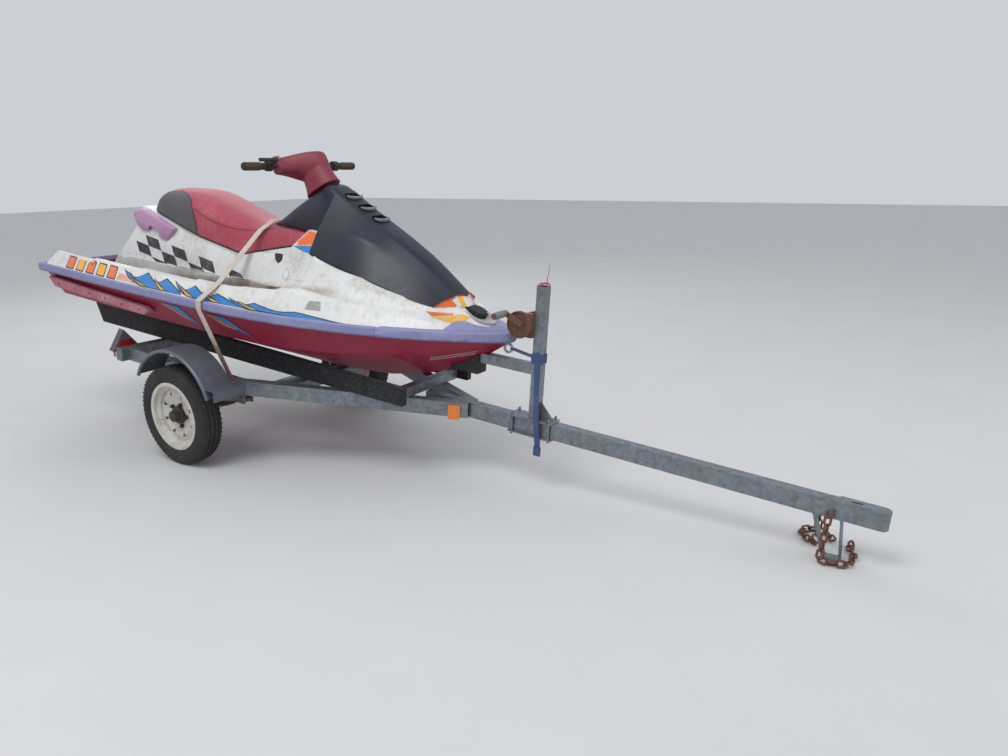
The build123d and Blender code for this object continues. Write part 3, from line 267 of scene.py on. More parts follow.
def graded(material, colour, direction, low, high, inside=None, until=None, amount=0.9):
    """Tints a finish with a colour along a direction of the trailer's frame, from none at low to all at high,
    in mm, and if asked only near the centre line and behind a place. The tint is a real stain on some
    finishes and partly painted shade on the deck."""
    tree = material.node_tree
    shader = tree.nodes["Principled BSDF"]
    plain = shader.inputs["Base Color"].links[0].from_socket
    turned_way = parked.to_3x3() @ Vector(direction) / millimetre
    offset = Vector(direction).dot(parked.inverted() @ Vector((0, 0, 0)))
    seen = own_place(tree)
    level = node(tree, "ShaderNodeVectorMath", {0: seen, 1: turned_way},
                 operation="DOT_PRODUCT").outputs["Value"]
    spread = abs(high - low) * millimetre
    ragged = maths(tree, "MULTIPLY_ADD", noise(tree, seen, 26.0, 5.0), spread * 1.2, -spread * 0.6)
    mask = ranged(tree, maths(tree, "ADD", level, ragged), (low - offset) * millimetre,
                  (high - offset) * millimetre, 0.0, amount, interpolation_type="SMOOTHSTEP")
    if inside:
        apart = node(tree, "ShaderNodeSeparateXYZ", {"Vector": seen}).outputs
        out = maths(tree, "ABSOLUTE", apart["Y"])
        near = ranged(tree, out, (inside + 8) * millimetre, inside * millimetre)
        limit = place(until, 0, low).x
        mask = maths(tree, "MULTIPLY", mask, near)
        mask = maths(tree, "MULTIPLY", mask, ranged(tree, apart["X"], limit, limit - 0.12))
    feed(tree, shader, {"Base Color": blended(tree, mask, plain, (*colour, 1))})


def dress(piece, *materials):
    piece.data.materials.clear()
    for material in materials:
        piece.data.materials.append(material)


def new_piece(name, mesh, *materials, body="trailer_and_craft"):
    """A new piece from a finished mesh. It rides on a body, or on none where it is a mere tool."""
    piece = linked(name, mesh)
    dress(piece, *materials)
    if body:
        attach(piece, body)
    return piece


def settled(piece):
    """The plain mesh that a piece's modifiers make of it."""
    bpy.context.view_layer.update()
    return bpy.data.meshes.new_from_object(piece.evaluated_get(bpy.context.evaluated_depsgraph_get()))


def applied(piece):
    """Makes a piece's modifiers part of its mesh."""
    plain = settled(piece)
    piece.modifiers.clear()
    piece.data = plain


def smooth(mesh, sharp=None):
    """Shades a mesh smooth, but for the edges that are sharper than an angle."""
    mesh.polygons.foreach_set("use_smooth", [True] * len(mesh.polygons))
    if sharp:
        mesh.set_sharp_from_angle(angle=math.radians(sharp))
    return mesh


def meshed(name, shape):
    """The mesh of a finished shape."""
    mesh = bpy.data.meshes.new(name)
    shape.to_mesh(mesh)
    shape.free()
    return mesh


def rounded(node_name, width, *materials, segments=2, sharp=32):
    """A copy of a CAD node with its sharp corners rounded over, which stands for it."""
    cad_node = frame["nodes"][node_name]
    shape = bmesh.new()
    shape.from_mesh(cad_node.data)
    bmesh.ops.remove_doubles(shape, verts=shape.verts, dist=0.00002)
    bmesh.ops.dissolve_limit(shape, angle_limit=math.radians(0.4), verts=shape.verts, edges=shape.edges)
    mesh = smooth(meshed(node_name + "_body", shape))
    piece = new_piece(node_name + "_body", mesh, *materials, body=None)
    bevel = piece.modifiers.new("rounding", "BEVEL")
    bevel.width = width * millimetre
    bevel.segments = segments
    bevel.angle_limit = math.radians(sharp)
    shade = piece.modifiers.new("shading", "WEIGHTED_NORMAL")
    shade.keep_sharp = False
    applied(piece)
    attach(piece, cad_node["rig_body"])
    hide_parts(node_name)
    return piece


galvanized = finish("galvanized", (0.23, 0.26, 0.285), (0.12, 0.12, 0.12), 0.5, 0.45, scale=3.0, runs=0.5,
                    metallic=0.7, zinc=0.35, grain=0.7, dents=1.2, depth=0.0006)
for beam in ("tongue", "rail_left", "rail_right", "front_crossbar", "middle_crossbar", "rear_crossbar"):
    rounded(beam, 5, galvanized, segments=3)

# The axle is a square tube with turned spindles. It hangs on leaf springs of flat steel, held to
# it by clamp plates, which have all rusted brown.
rusty_steel = finish("winch_rust", (0.16, 0.075, 0.05), (0.3, 0.12, 0.06), 0.9, 0.75, scale=14.0,
                     metallic=0.2, grain=1.2, grain_scale=420.0, depth=0.0008)
rounded("axle", 4, galvanized, segments=2)
for spring in ("spring_left", "spring_right"):
    rounded(spring, 1.5, rusty_steel)

# Each wheel has a worn road tyre with lugs round its shoulders, a cream pressed rim with
# triangular windows and a greasy hub. One tree sets out lugs, rivets, bolts, stitches and ribs.
repeats, asked, repeats_out = new_group(
    "repeats along a path", {"Path": "Geometry", "Piece": "Object", "Spacing": "Float", "Facing": "Vector",
                             "Finish": "Material", "Seed": "Int"}, {"Pieces": "Geometry"}, "GeometryNodeTree")
repeat_points = node(repeats, "GeometryNodeCurveToPoints",
                     {"Curve": asked["Path"], "Length": asked["Spacing"]}, mode="LENGTH").outputs
repeat_along = node(repeats, "FunctionNodeAlignRotationToVector", {"Vector": repeat_points["Tangent"]},
                    axis="Z")
repeat_turned = node(repeats, "FunctionNodeAlignRotationToVector",
                     {"Rotation": repeat_along.outputs[0], "Vector": asked["Facing"]},
                     axis="X", pivot_axis="Z")
repeat_object = node(repeats, "GeometryNodeObjectInfo", {"Object": asked["Piece"]})
repeat_size = node(repeats, "FunctionNodeRandomValue", {2: 0.93, 3: 1.0, "Seed": asked["Seed"]},
                   data_type="FLOAT")
repeat_set = node(repeats, "GeometryNodeInstanceOnPoints",
                  {"Points": repeat_points["Points"], "Instance": repeat_object.outputs["Geometry"],
                   "Rotation": repeat_turned.outputs[0], "Scale": repeat_size.outputs[1]})
repeat_real = node(repeats, "GeometryNodeRealizeInstances", {"Geometry": repeat_set.outputs[0]})
repeat_finish = node(repeats, "GeometryNodeSetMaterial", {"Geometry": repeat_real.outputs[0],
                                                          "Material": asked["Finish"]})
feed(repeats, repeats_out, {"Pieces": repeat_finish.outputs[0]})
repeats_sockets = {item.name: item.identifier for item in repeats.interface.items_tree}
repeats_seed = 7


def stud(long, wide, high, corner):
    """A small block with rounded corners, in mm: long along z, wide along y, high along x."""
    shape = bmesh.new()
    bmesh.ops.create_cube(shape, size=1)
    bmesh.ops.scale(shape, vec=Vector((high, wide, long)) * millimetre, verts=shape.verts)
    bmesh.ops.bevel(shape, geom=shape.edges[:], offset=corner * millimetre, segments=2, profile=0.5,
                    affect="EDGES")
    return linked("stud", smooth(meshed("stud", shape)))


def path(name, points, radii=None, closed=False):
    """A line through points, which can be as thick at each as radii says."""
    curve = bpy.data.curves.new(name, "CURVE")
    curve.dimensions = "3D"
    spline = curve.splines.new("POLY")
    spline.points.add(len(points) - 1)
    for knot, point, radius in zip(spline.points, points, radii or [1] * len(points)):
        knot.co = (*place(*point), 1)
        knot.radius = radius
    spline.use_cyclic_u = closed
    return linked(name, curve)


def repeated(name, points, piece, spacing, facing, material, body="trailer_and_craft", closed=False):
    """A piece set out along a line by the repeat tree, as one mesh."""
    line = path(name, points, closed=closed)
    setting = line.modifiers.new("repeats", "NODES")
    setting.node_group = repeats
    for label, value in (("Piece", piece), ("Spacing", spacing * millimetre), ("Facing", facing),
                         ("Finish", material), ("Seed", repeats_seed)):
        setting[repeats_sockets[label]] = value
    new_piece(name, settled(line), material, body=body)
    bpy.data.objects.remove(line)


tyre_rubber = finish("tyre", (0.018, 0.018, 0.019), (0.1, 0.085, 0.07), 0.55, 0.78, scale=9.0,
                     grain=0.8, grain_scale=520.0, depth=0.0005)
rim_paint = finish("rim_white", (0.6, 0.58, 0.52), (0.16, 0.08, 0.04), 0.55, 0.42, scale=16.0, grain=0.4)
greasy_hub = finish("hub_greasy", (0.02, 0.02, 0.02), (0.08, 0.06, 0.045), 0.6, 0.5, scale=30.0, grain=1.0)
tyre_half = [(160, 44), (166, 49), (178, 53), (195, 57.3), (212, 58.3), (226, 56.6), (238, 52.5), (246, 47),
             (251.5, 39), (253, 27), (248, 26), (248, 22), (253.8, 21), (254.6, 4), (249, 3.4)]
half_track = 628
tyre_steps = 112
lug_radius = 244
lug_out = 45.5
both_sides = (("left", 1), ("right", -1))


def bridged(shape, rows, ring):
    """Faces between rows of points, which are rings or open lines."""
    for near, far in zip(rows, rows[1:]):
        for low in range(len(near) if ring else len(near) - 1):
            high = (low + 1) % len(near)
            shape.faces.new((near[low], near[high], far[high], far[low]))


def turned(name, outline, origin, axis, steps, *materials, body="trailer_and_craft"):
    """A closed piece turned about an axis; the outline gives radius and distance along the axis."""
    shape = bmesh.new()
    origin, axis, across = Vector(origin), Vector(axis).normalized(), Vector((1, 0, 0))
    third = axis.cross(across)
    rings = []
    for step in range(steps):
        angle = 2 * math.pi * step / steps
        out = across * math.cos(angle) + third * math.sin(angle)
        rings.append([shape.verts.new(place(*(origin + out * radius + axis * along)))
                      for radius, along in outline])
    bridged(shape, rings + rings[:1], True)
    bmesh.ops.remove_doubles(shape, verts=shape.verts, dist=0.000001)
    bmesh.ops.dissolve_degenerate(shape, edges=shape.edges, dist=0.0000005)
    bmesh.ops.recalc_face_normals(shape, faces=shape.faces)
    return new_piece(name, smooth(meshed(name, shape), 42), *materials, body=body)


def oval(long, wide, step):
    """Pairs of numbers round an oval, a step of degrees apart."""
    return [(long * math.cos(math.radians(angle)), wide * math.sin(math.radians(angle)))
            for angle in range(0, 360, step)]


def circle(x, y, z, radius, step):
    """Points round a line that runs across the craft."""
    return [(x + along, y, z + up) for along, up in oval(radius, radius, step)]


for side_name, side in both_sides:
    wheel = "wheel_" + side_name
    profile = tyre_half + [(radius, -out) for radius, out in reversed(tyre_half)]
    tyre = turned("tyre_%s_tread" % side_name, profile, (0, side * half_track, 0), (0, 1, 0), tyre_steps,
                  tyre_rubber, body=wheel)
    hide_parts("tyre_" + side_name)
    lug = stud(9, 15, 5, 1.2)
    for end, out in (("outer", lug_out), ("inner", -lug_out)):
        lug_line = circle(0, side * half_track + out, 0, lug_radius, 4)
        repeated("tyre_%s_lugs_%s" % (side_name, end), lug_line, lug, 24, (0, out, 0), tyre_rubber, wheel,
                 closed=True)
    bpy.data.objects.remove(lug)
    rounded("rim_" + side_name, 1.2, rim_paint)
    rounded("hub_" + side_name, 1.2, greasy_hub)

# The fenders are rolled sheet with a beaded lip and a step at the front, on angles from the
# rails. The steel has weathered to a plain dull grey.
fender_steel = finish("fender_grey", (0.15, 0.18, 0.21), (0.09, 0.09, 0.09), 0.5, 0.42, scale=4.0,
                      metallic=0.55, zinc=0.12, grain=0.5, dents=1.5, depth=0.0007)
for fender in ("fender_left", "fender_right"):
    rounded(fender, 1.2, fender_steel, sharp=40)

# The bunks are long boards on edge, which carry the hull along its bottom. They are wrapped in
# black looped carpet, which has faded and caught grit, with painted shade between its loops and a painted
# highlight on their tops.
loops, _, loops_out = new_group("carpet loops", {}, {"Height": "Float"})
loops_cells = node(loops, "ShaderNodeTexVoronoi", {"Vector": own_place(loops), "Scale": 95.0})
feed(loops, loops_out, {"Height": maths(loops, "MULTIPLY", loops_cells.outputs["Distance"], -2.0)})
carpet = finish("bunk_carpet", (0.011, 0.012, 0.015), (0.055, 0.053, 0.052), 0.7, 0.95, scale=22.0, grain=1.0,
                grain_scale=700.0, depth=0.003, sheen=0.15, weave=loops)
for bunk in ("bunk_left", "bunk_right"):
    rounded(bunk, 6, carpet, segments=3)

# The winch post is square galvanized tube, clamped to the tongue with plates. It carries the bow
# stop's rubber block and a rusty hand winch of pressed plates, with a gear, a wound drum of webbing
# and a grey grip on its crank. A thin pink marker rod, with a twist of tape, stands on its top.
rounded("winch_post", 3, galvanized)
rounded("winch", 1.5, rusty_steel)
black_rubber = finish("block_rubber", (0.02, 0.02, 0.021), (0.1, 0.09, 0.08), 0.5, 0.7, scale=20.0, grain=0.8)
rounded("bow_block", 6, black_rubber, segments=3)


def skin(name, rows, *materials, ring=False, caps=False, sharp=40, body="trailer_and_craft"):
    """A surface through rows of points, as rings or as open lines, with its ends closed or not."""
    shape = bmesh.new()
    grid = [[shape.verts.new(place(*point)) for point in row] for row in rows]
    bridged(shape, grid, ring)
    if caps:
        shape.faces.new(grid[0])
        shape.faces.new(list(reversed(grid[-1])))
    bmesh.ops.remove_doubles(shape, verts=shape.verts, dist=0.00001)
    bmesh.ops.recalc_face_normals(shape, faces=shape.faces)
    return new_piece(name, smooth(meshed(name, shape), sharp), *materials, body=body)


def tube(name, points, radii, material, sides=8, body="trailer_and_craft"):
    """A round bar through points, as thick at each as radii says."""
    bar = path(name, points, radii)
    bar.data.bevel_depth = millimetre
    bar.data.bevel_resolution = max(1, sides // 4)
    bar.data.use_fill_caps = True
    plain = settled(bar)
    bpy.data.objects.remove(bar)
    return new_piece(name, smooth(plain), material, body=body)


grip_grey = finish("grey winch grip", (0.2, 0.21, 0.22), (0.12, 0.07, 0.05), 0.5, 0.6, scale=40.0)
winch_x = 1604
winch_z = 640
post_x = 1685
post_top_z = 821
cover_y = -56
rivet_circle = 44
marker_parts = [
    # name, points from the middle of the post's top, radii, sides
    ("rod", [(6, 12, -14), (7, 13, 30), (12, 16, 66), (10, 20, 96)], [2.2, 1.6, 1.3, 1.0], 6),
    ("tape", [(-22, -22, -4), (-12, -12, 4), (4, 6, 7), (12, 22, 3), (16, 30, -10)], [2, 4, 5, 4, 2], 8),
]
grip_rows = [circle(winch_x - 54, y, winch_z + 48, radius, 15)
             for y, radius in ((-90, 13.4), (-94, 15.5), (-134, 16.4), (-172, 15.5), (-177, 13.4))]
skin("winch_grip", grip_rows, grip_grey, ring=True, caps=True)
drum_rows = [circle(winch_x, y, winch_z, radius, 10)
             for y, radius in ((-34, 30.5), (-34, 42), (32, 42), (32, 30.5))]
skin("winch_webbing", drum_rows, grip_grey, ring=True)
turned("winch_cover_lip", [(54, 0), (60.5, 0), (60.5, 3), (59, 4.5), (56, 4.5), (54, 3)],
       (winch_x, cover_y, winch_z), (0, -1, 0), 60, rusty_steel)
turned("winch_cover_hub", [(0.05, 0), (16, 0), (16, 4), (9, 6), (9, 12), (0.05, 13)],
       (winch_x - 12, cover_y, winch_z - 14), (0, -1, 0), 24, rusty_steel)
rivet = stud(7, 7, 4, 2)
repeated("winch_rivets", circle(winch_x, cover_y, winch_z, rivet_circle, 6), rivet, 46, (0, -1, 0),
         rusty_steel, closed=True)
bpy.data.objects.remove(rivet)
marker_pink = finish("pink marker", (0.6, 0.06, 0.12), (0.4, 0.2, 0.2), 0.3, 0.6, scale=50.0)
for label, line, radii, sides in marker_parts:
    tube("post_marker_" + label, [(post_x + x, y, post_top_z + z) for x, y, z in line], radii, marker_pink,
         sides=sides)

# The coupler is a pressed and galvanized shell over the end of the tongue, hollow below for the
# tow ball and bolted through the tube.
rounded("coupler", 2.5, galvanized)

# The safety chains are links of bent and welded steel rod. They hang from the tongue and lie
# dropped in two rusty heaps.
for chain in ("safety_chain_left", "safety_chain_right"):
    rounded(chain, 1.8, rusty_steel, segments=2)

# Each tail light is a grey plastic prism with three corners. Red lenses are let into its front and
# rear faces, and a flake of broken lens hangs below. Amber reflectors are bolted to the rails.
lamp_housing = finish("grey lamp housing", (0.1, 0.1, 0.105), (0.2, 0.19, 0.17), 0.4, 0.55, scale=18.0)
for light in ("tail_light_left", "tail_light_right"):
    rounded(light, 3, lamp_housing)
red_lens = finish("lamp_red", (0.3, 0.008, 0.015), (0.1, 0.03, 0.03), 0.5, 0.25, scale=30.0, clear=0.4)
light_x = -650.3
light_deep = 49
light_faces = [
    # name, x of the face, step out from it, corners as y and z
    ("band", light_x, 2.5, [(525, 240), (461, 240), (434, 207), (545, 207)]),
    ("lens", light_x - light_deep, -3, [(546, 198), (498, 276), (433, 200)]),
]
tag_section = [(0, 0), (22, -4), (24, -3), (2, 2)]
tag_drop = [(0, 196), (8, 182), (4, 166), (7, 160)]
tag_y = 552


def middle(pairs):
    """The mean of a run of pairs."""
    return [sum(pair[column] for pair in pairs) / len(pairs) for column in (0, 1)]


for side_name, side in both_sides:
    for label, face_x, step, corners in light_faces:
        middle_y, middle_z = middle(corners)
        rows = [[(face_x + out * step, side * (middle_y + (y - middle_y) * share),
                  middle_z + (z - middle_z) * share) for y, z in corners]
                for out, share in ((-0.2, 1), (0.7, 1), (1, 0.95))]
        skin("tail_light_%s_%s" % (label, side_name), rows, red_lens, ring=True, caps=True)
    tag_rows = [[(light_x - 20 + ahead, side * (tag_y + out), z + dip) for ahead, dip in tag_section]
                for out, z in tag_drop]
    skin("tail_light_tag_" + side_name, tag_rows, red_lens, ring=True, caps=True)
amber_lens = finish("reflector_orange", (0.85, 0.22, 0.02), (0.3, 0.12, 0.05), 0.35, 0.25, scale=24.0,
                    clear=0.4)
rounded("side_reflectors", 1.5, amber_lens)

# The hull is moulded fibreglass in deep red gelcoat, with a V bottom and hard chines, rubbed and
# faded by water, sand and the bunks.
red_gelcoat = finish("hull_red", (0.29, 0.007, 0.036), (0.15, 0.012, 0.035), 0.4, 0.42, scale=2.2, runs=0.3,
                     grain=0.15, tone=0.25)
hull = rounded("hull", 6, red_gelcoat, segments=3)

# The deck is moulded fibreglass in white gelcoat, bonded to the hull under the bumper. Brown grime
# has run down it, and a brown band along the foot of the pedestal is partly grime and partly painted shade in
# the corner.
white_gelcoat = finish("deck_white", (0.72, 0.72, 0.7), (0.3, 0.25, 0.18), 0.7, 0.38, scale=3.6, runs=0.4,
                       grain=0.2, clear=0.1)
foot_rise = 0.098
foot_low_z = 622
foot_high_z = 652
# The brown band at the pedestal's foot is partly grime and partly painted shade in the corner.
graded(white_gelcoat, (0.3, 0.18, 0.08), (-foot_rise, 0, 1), foot_high_z, foot_low_z, inside=342, until=820,
       amount=0.6)
deck = rounded("deck", 9, white_gelcoat, segments=4)

# The deck's graphics are cut vinyl: a slanted checkerboard on the pedestal, swept blue and amber
# shapes on the gunwales, each colour over a black edge, and a two-colour panel ahead of the seat.
vinyl_wall = 0.35
vinyl_cell = 22
far_off = 1000
corner_reach = 0.48


def surface_tree(piece):
    """A search tree of a piece's surface, in the trailer's frame."""
    back = parked.inverted()
    return BVHTree.FromPolygons([back @ vertex.co for vertex in piece.data.vertices],
                                [polygon.vertices[:] for polygon in piece.data.polygons])


def bend(before, corner, after, radius, steps):
    """The points of a rounded corner, or the corner alone where it has no radius."""
    if not radius:
        return [corner]
    back, ahead = before - corner, after - corner
    near = corner + back.normalized() * min(radius, back.length * corner_reach)
    far = corner + ahead.normalized() * min(radius, ahead.length * corner_reach)
    shares = [step / steps for step in range(steps + 1)]
    return [near * (1 - t) ** 2 + corner * 2 * t * (1 - t) + far * t ** 2 for t in shares]


def curved(outline):
    """A closed outline whose corners are rounded, each by the radius that may follow its place."""
    corners = [Vector(corner[:2]) for corner in outline]
    made = []
    for at, corner in enumerate(corners):
        radius = outline[at][2] if len(outline[at]) > 2 else 0
        made += bend(corners[at - 1], corner, corners[(at + 1) % len(corners)], radius, 7)
    return made


def shifted(outline, x, z=0):
    """An outline moved along and up, with its radii."""
    return [(x + corner[0], z + corner[1], *corner[2:]) for corner in outline]


def grown(outline, width):
    """An outline moved outward by a width, with its sharp tips held short."""
    count = len(outline)
    area = sum(outline[at - 1].x * outline[at].y - outline[at].x * outline[at - 1].y for at in range(count))
    turn = math.copysign(1, area)
    made = []
    for at, here in enumerate(outline):
        before = here - outline[at - 1]
        after = outline[(at + 1) % count] - here
        out = Vector((before.y, -before.x)).normalized() + Vector((after.y, -after.x)).normalized()
        made.append(here + out.normalized() * turn * width / max(0.4, out.length / 2))
    return made


def lay(shape, tree, outline, side, lift, slot, grow=0, start=far_off, above=False, cell=vinyl_cell):
    """Lays a flat outline on a surface, along y from one side or down from above, in small cells."""
    outline = curved(outline)
    if grow:
        outline = grown(outline, grow)
    flat = bmesh.new()
    flat.faces.new([flat.verts.new((across, 0, along)) for across, along in outline])
    for axis in (0, 2):
        low = min(vertex.co[axis] for vertex in flat.verts)
        high = max(vertex.co[axis] for vertex in flat.verts)
        for cut in range(1, int((high - low) / cell) + 1):
            across = Vector((0, 0, 0))
            across[axis] = 1
            bmesh.ops.bisect_plane(flat, geom=flat.verts[:] + flat.edges[:] + flat.faces[:],
                                   plane_co=across * (low + cut * cell), plane_no=across)
    bmesh.ops.triangulate(flat, faces=flat.faces[:])
    sight = Vector((0, 0, -1)) if above else Vector((0, -side, 0))
    made = {}
    for vertex in flat.verts:
        if above:
            source = Vector((vertex.co.x, side * vertex.co.z, start))
        else:
            source = Vector((vertex.co.x, side * start, vertex.co.z))
        hit = tree.ray_cast(source, sight)[0]
        if hit:
            made[vertex] = shape.verts.new(place(*(hit - sight * lift)))
    facing = parked.to_3x3() @ sight
    for face in flat.faces:
        if all(vertex in made for vertex in face.verts):
            new = shape.faces.new([made[vertex] for vertex in face.verts])
            new.normal_update()
            if new.normal.dot(facing) > 0:
                new.normal_flip()
            new.material_index = slot
    flat.free()


def thickened(piece, wall, offset):
    """Gives an open surface a wall outward of it, or inward where the offset is minus one."""
    solid = piece.modifiers.new("wall", "SOLIDIFY")
    solid.thickness = wall * millimetre
    solid.offset = offset
    applied(piece)


def vinyl(name, shape, wall, *materials):
    """Gives laid shapes their thickness and makes them one piece."""
    mesh = meshed(name, shape)
    slots = [polygon.material_index for polygon in mesh.polygons]
    piece = new_piece(name, mesh, *materials)
    mesh.polygons.foreach_set("material_index", slots)
    thickened(piece, wall, 1)


vinyl_finishes = [
    # name, colour, stain, how much of it, roughness, scale, grain
    ("black vinyl", (0.012, 0.012, 0.014), (0.4, 0.39, 0.37), 0.4, 0.35, 16.0, 0.3),
    ("blue vinyl", (0.012, 0.2, 0.56), (0.35, 0.4, 0.42), 0.35, 0.35, 12.0, 0.3),
    ("orange vinyl", (0.8, 0.16, 0.03), (0.75, 0.5, 0.35), 0.4, 0.38, 12.0, 0.3),
    ("amber vinyl", (0.85, 0.42, 0.03), (0.7, 0.6, 0.4), 0.4, 0.38, 12.0, 0.3),
    ("faded orange vinyl", (0.78, 0.34, 0.2), (0.74, 0.72, 0.68), 0.75, 0.42, 7.0, 0.3),
    ("worn grey patch", (0.3, 0.29, 0.27), (0.62, 0.6, 0.56), 0.9, 0.6, 60.0, 0.5),
    ("white patch", (0.74, 0.74, 0.73), (0.5, 0.47, 0.42), 0.4, 0.4, 20.0, 0.5),
]
graphics_colours = [finish(name, colour, stain, amount, rough, scale=scale, grain=grain)
                    for name, colour, stain, amount, rough, scale, grain in vinyl_finishes]
black_slot, blue_slot, orange_slot, amber_slot, pale_slot, patch_slot, white_slot = range(7)
edge_width = 4
thin_edge = 3
edge_lift = 0.4
colour_lift = 1.0
top_lift = 1.2
gunwale_shapes = [
    # slot, corners as x, z and a radius
    (pale_slot, [(-655, 612), (-560, 606), (-330, 584), (-640, 584)]),
    (blue_slot, [(-640, 632), (-500, 598, 70), (-438, 636), (-318, 598, 70), (-268, 629), (-110, 590, 60),
                 (-90, 583), (-415, 583), (-530, 596, 60)]),
    (blue_slot, [(-196, 630), (-80, 594, 70), (-36, 626), (92, 590, 70), (142, 614), (318, 586, 60),
                 (340, 583), (10, 583), (-100, 592, 60)]),
    (blue_slot, [(226, 611), (338, 589, 60), (396, 606), (540, 588, 60), (640, 598), (860, 580, 60),
                 (1006, 566), (850, 573), (560, 584), (395, 583), (310, 588, 40)]),
    (amber_slot, [(-575, 624), (-505, 600, 50), (-372, 584), (-418, 584, 10), (-520, 604, 50)]),
    (amber_slot, [(-348, 618), (-290, 600, 40), (-214, 585), (-256, 585, 10), (-310, 602, 40)]),
    (amber_slot, [(-140, 616), (-80, 600, 40), (4, 585), (-40, 585, 10), (-98, 602, 40)]),
    (amber_slot, [(44, 612), (104, 598, 40), (190, 585), (140, 585, 10), (84, 600, 40)]),
    (amber_slot, [(300, 604), (352, 594, 30), (440, 584), (396, 584, 10), (334, 594, 30)]),
]
stern_bars = 5
bar_first_x = -1180
bar_pitch = 103
bar_outline = [(0, 631), (66, 629, 8), (112, 584), (44, 585, 8)]
hull_shapes = [
    (orange_slot, [(-262, 514), (-150, 514), (-36, 440), (-112, 450)]),
    (blue_slot, [(-234, 516), (-120, 516), (-58, 468, 40), (0, 420), (-96, 462, 40)]),
    (orange_slot, [(86, 512), (170, 512), (262, 452), (176, 462)]),
    (blue_slot, [(112, 514), (214, 514), (292, 466, 40), (346, 430), (244, 464, 40)]),
]
check_columns = 8
check_rows = 3
check_origin = Vector((-755, 786))
check_across = Vector((118, -15))
check_down = Vector((42, -55))
check_lift = 0.5
pedestal_start = 405
low_of_board = 654
shortest_check = 12
panel_shapes = [
    # slot, corners as x and z
    (orange_slot, [(420, 934), (530, 931), (545, 877), (396, 859)]),
    (blue_slot, [(394, 855), (541, 873), (562, 834), (474, 840)]),
]
diamond_outline = [(400, 752), (440, 728, 10), (424, 700), (386, 720, 10)]
patch_outline = [(677, 652, 4), (738, 655, 4), (756, 618, 4), (674, 616, 4)]
plug_outline = [(277, 806, 6), (336, 810, 6), (347, 781, 14), (322, 764, 10), (294, 778, 14)]
stripe_outline = [(1176, 409), (1376, 462), (1384, 469), (1182, 415)]
stripe_pitch = 16
diamond_lift = 0.3
plug_lift = 0.3
plug_wall = 3

deck_tree = surface_tree(deck)
hull_tree = surface_tree(hull)
for side_name, side in reversed(both_sides):
    shape = bmesh.new()
    for slot, corners in gunwale_shapes:
        raised = top_lift * (slot == amber_slot)
        if slot == pale_slot:
            lay(shape, deck_tree, corners, side, edge_lift, slot)
        else:
            lay(shape, deck_tree, corners, side, edge_lift + raised, black_slot, grow=edge_width)
            lay(shape, deck_tree, corners, side, colour_lift + raised, slot)
    for bar in range(stern_bars):
        corners = shifted(bar_outline, bar_first_x + bar * bar_pitch)
        lay(shape, deck_tree, corners, side, edge_lift, black_slot, grow=edge_width + 1)
        lay(shape, deck_tree, corners, side, colour_lift, amber_slot if bar % 2 else orange_slot)
    for row in range(check_rows):
        for column in range(-1, check_columns):
            if (row + column) % 2 or (column < 0 and row != 1):
                continue
            corner = check_origin + check_across * column + check_down * row
            outline = [corner, corner + check_across, corner + check_across + check_down, corner + check_down]
            for point in outline:
                point.y = max(point.y, low_of_board)
            if max(point.y for point in outline) > low_of_board + shortest_check:
                lay(shape, deck_tree, outline, side, check_lift, black_slot, start=pedestal_start)
    for slot, corners in panel_shapes:
        lay(shape, deck_tree, corners, side, edge_lift, slot)
    lay(shape, deck_tree, diamond_outline, side, diamond_lift, patch_slot, thin_edge, pedestal_start)
    lay(shape, deck_tree, diamond_outline, side, 2 * diamond_lift, white_slot, start=pedestal_start)
    lay(shape, deck_tree, patch_outline, side, edge_lift, patch_slot)
    vinyl("deck_graphics_" + side_name, shape, vinyl_wall, *graphics_colours)
    shape = bmesh.new()
    for slot, corners in hull_shapes:
        raised = top_lift * (slot == blue_slot)
        lay(shape, hull_tree, corners, side, edge_lift + raised, black_slot, grow=thin_edge)
        lay(shape, hull_tree, corners, side, colour_lift + raised, slot)
    for row in range(2):
        stripe = shifted(stripe_outline, row * stripe_pitch, row * stripe_pitch)
        lay(shape, hull_tree, stripe, side, edge_lift, patch_slot)
    vinyl("hull_graphics_" + side_name, shape, vinyl_wall, *graphics_colours)
    plug = bmesh.new()
    lay(plug, deck_tree, plug_outline, side, plug_lift, 0)
    vinyl("pedestal_plug_" + side_name, plug, plug_wall, black_rubber)

# The mats of the footwells and the rear platform are ribbed dark rubber sheet. They are glued
# down, and grey with dust.
mat_rubber = finish("mat_dark", (0.03, 0.03, 0.032), (0.13, 0.12, 0.11), 0.5, 0.85, scale=10.0, grain=1.0)
rounded("deck_mat", 2, mat_rubber)

# The bumper is a soft lavender extrusion that is riveted over the joint of hull and deck. A moulded
# cap closes it over the nose, in the same colour, bleached above and darker towards the bottom.
lavender = finish("bumper_lavender", (0.23, 0.235, 0.42), (0.45, 0.46, 0.55), 0.5, 0.55, scale=7.0, runs=0.2,
                  grain=0.6)
# Between these heights the lavender turns darker towards the bottom.
bumper_full_colour_z = 557
bumper_darkened_z = 536
graded(lavender, (0.12, 0.1, 0.24), (0, 0, 1), bumper_full_colour_z, bumper_darkened_z, amount=0.85)
rounded("bumper_rail", 7, lavender, segments=3)
rounded("bow_cap", 9, lavender, segments=3)
cap_half = [(1086, 338), (1222, 268), (1330, 190), (1440, 100), (1512, 30), (1524, 0)]
cap_inner_half = [(1449, 0), (1440, 44), (1404, 76), (1352, 100), (1316, 126, 16), (1297, 152, 16),
                  (1284, 196, 30), (1216, 262, 40), (1090, 334)]
cap_wall = 3.5
fine_cell = 13
cap_shape = bmesh.new()
for side in (1, -1):
    lay(cap_shape, deck_tree, cap_half + cap_inner_half, side, top_lift, 0, above=True, cell=fine_cell)
vinyl("bow_cap_shell", cap_shape, cap_wall, lavender)

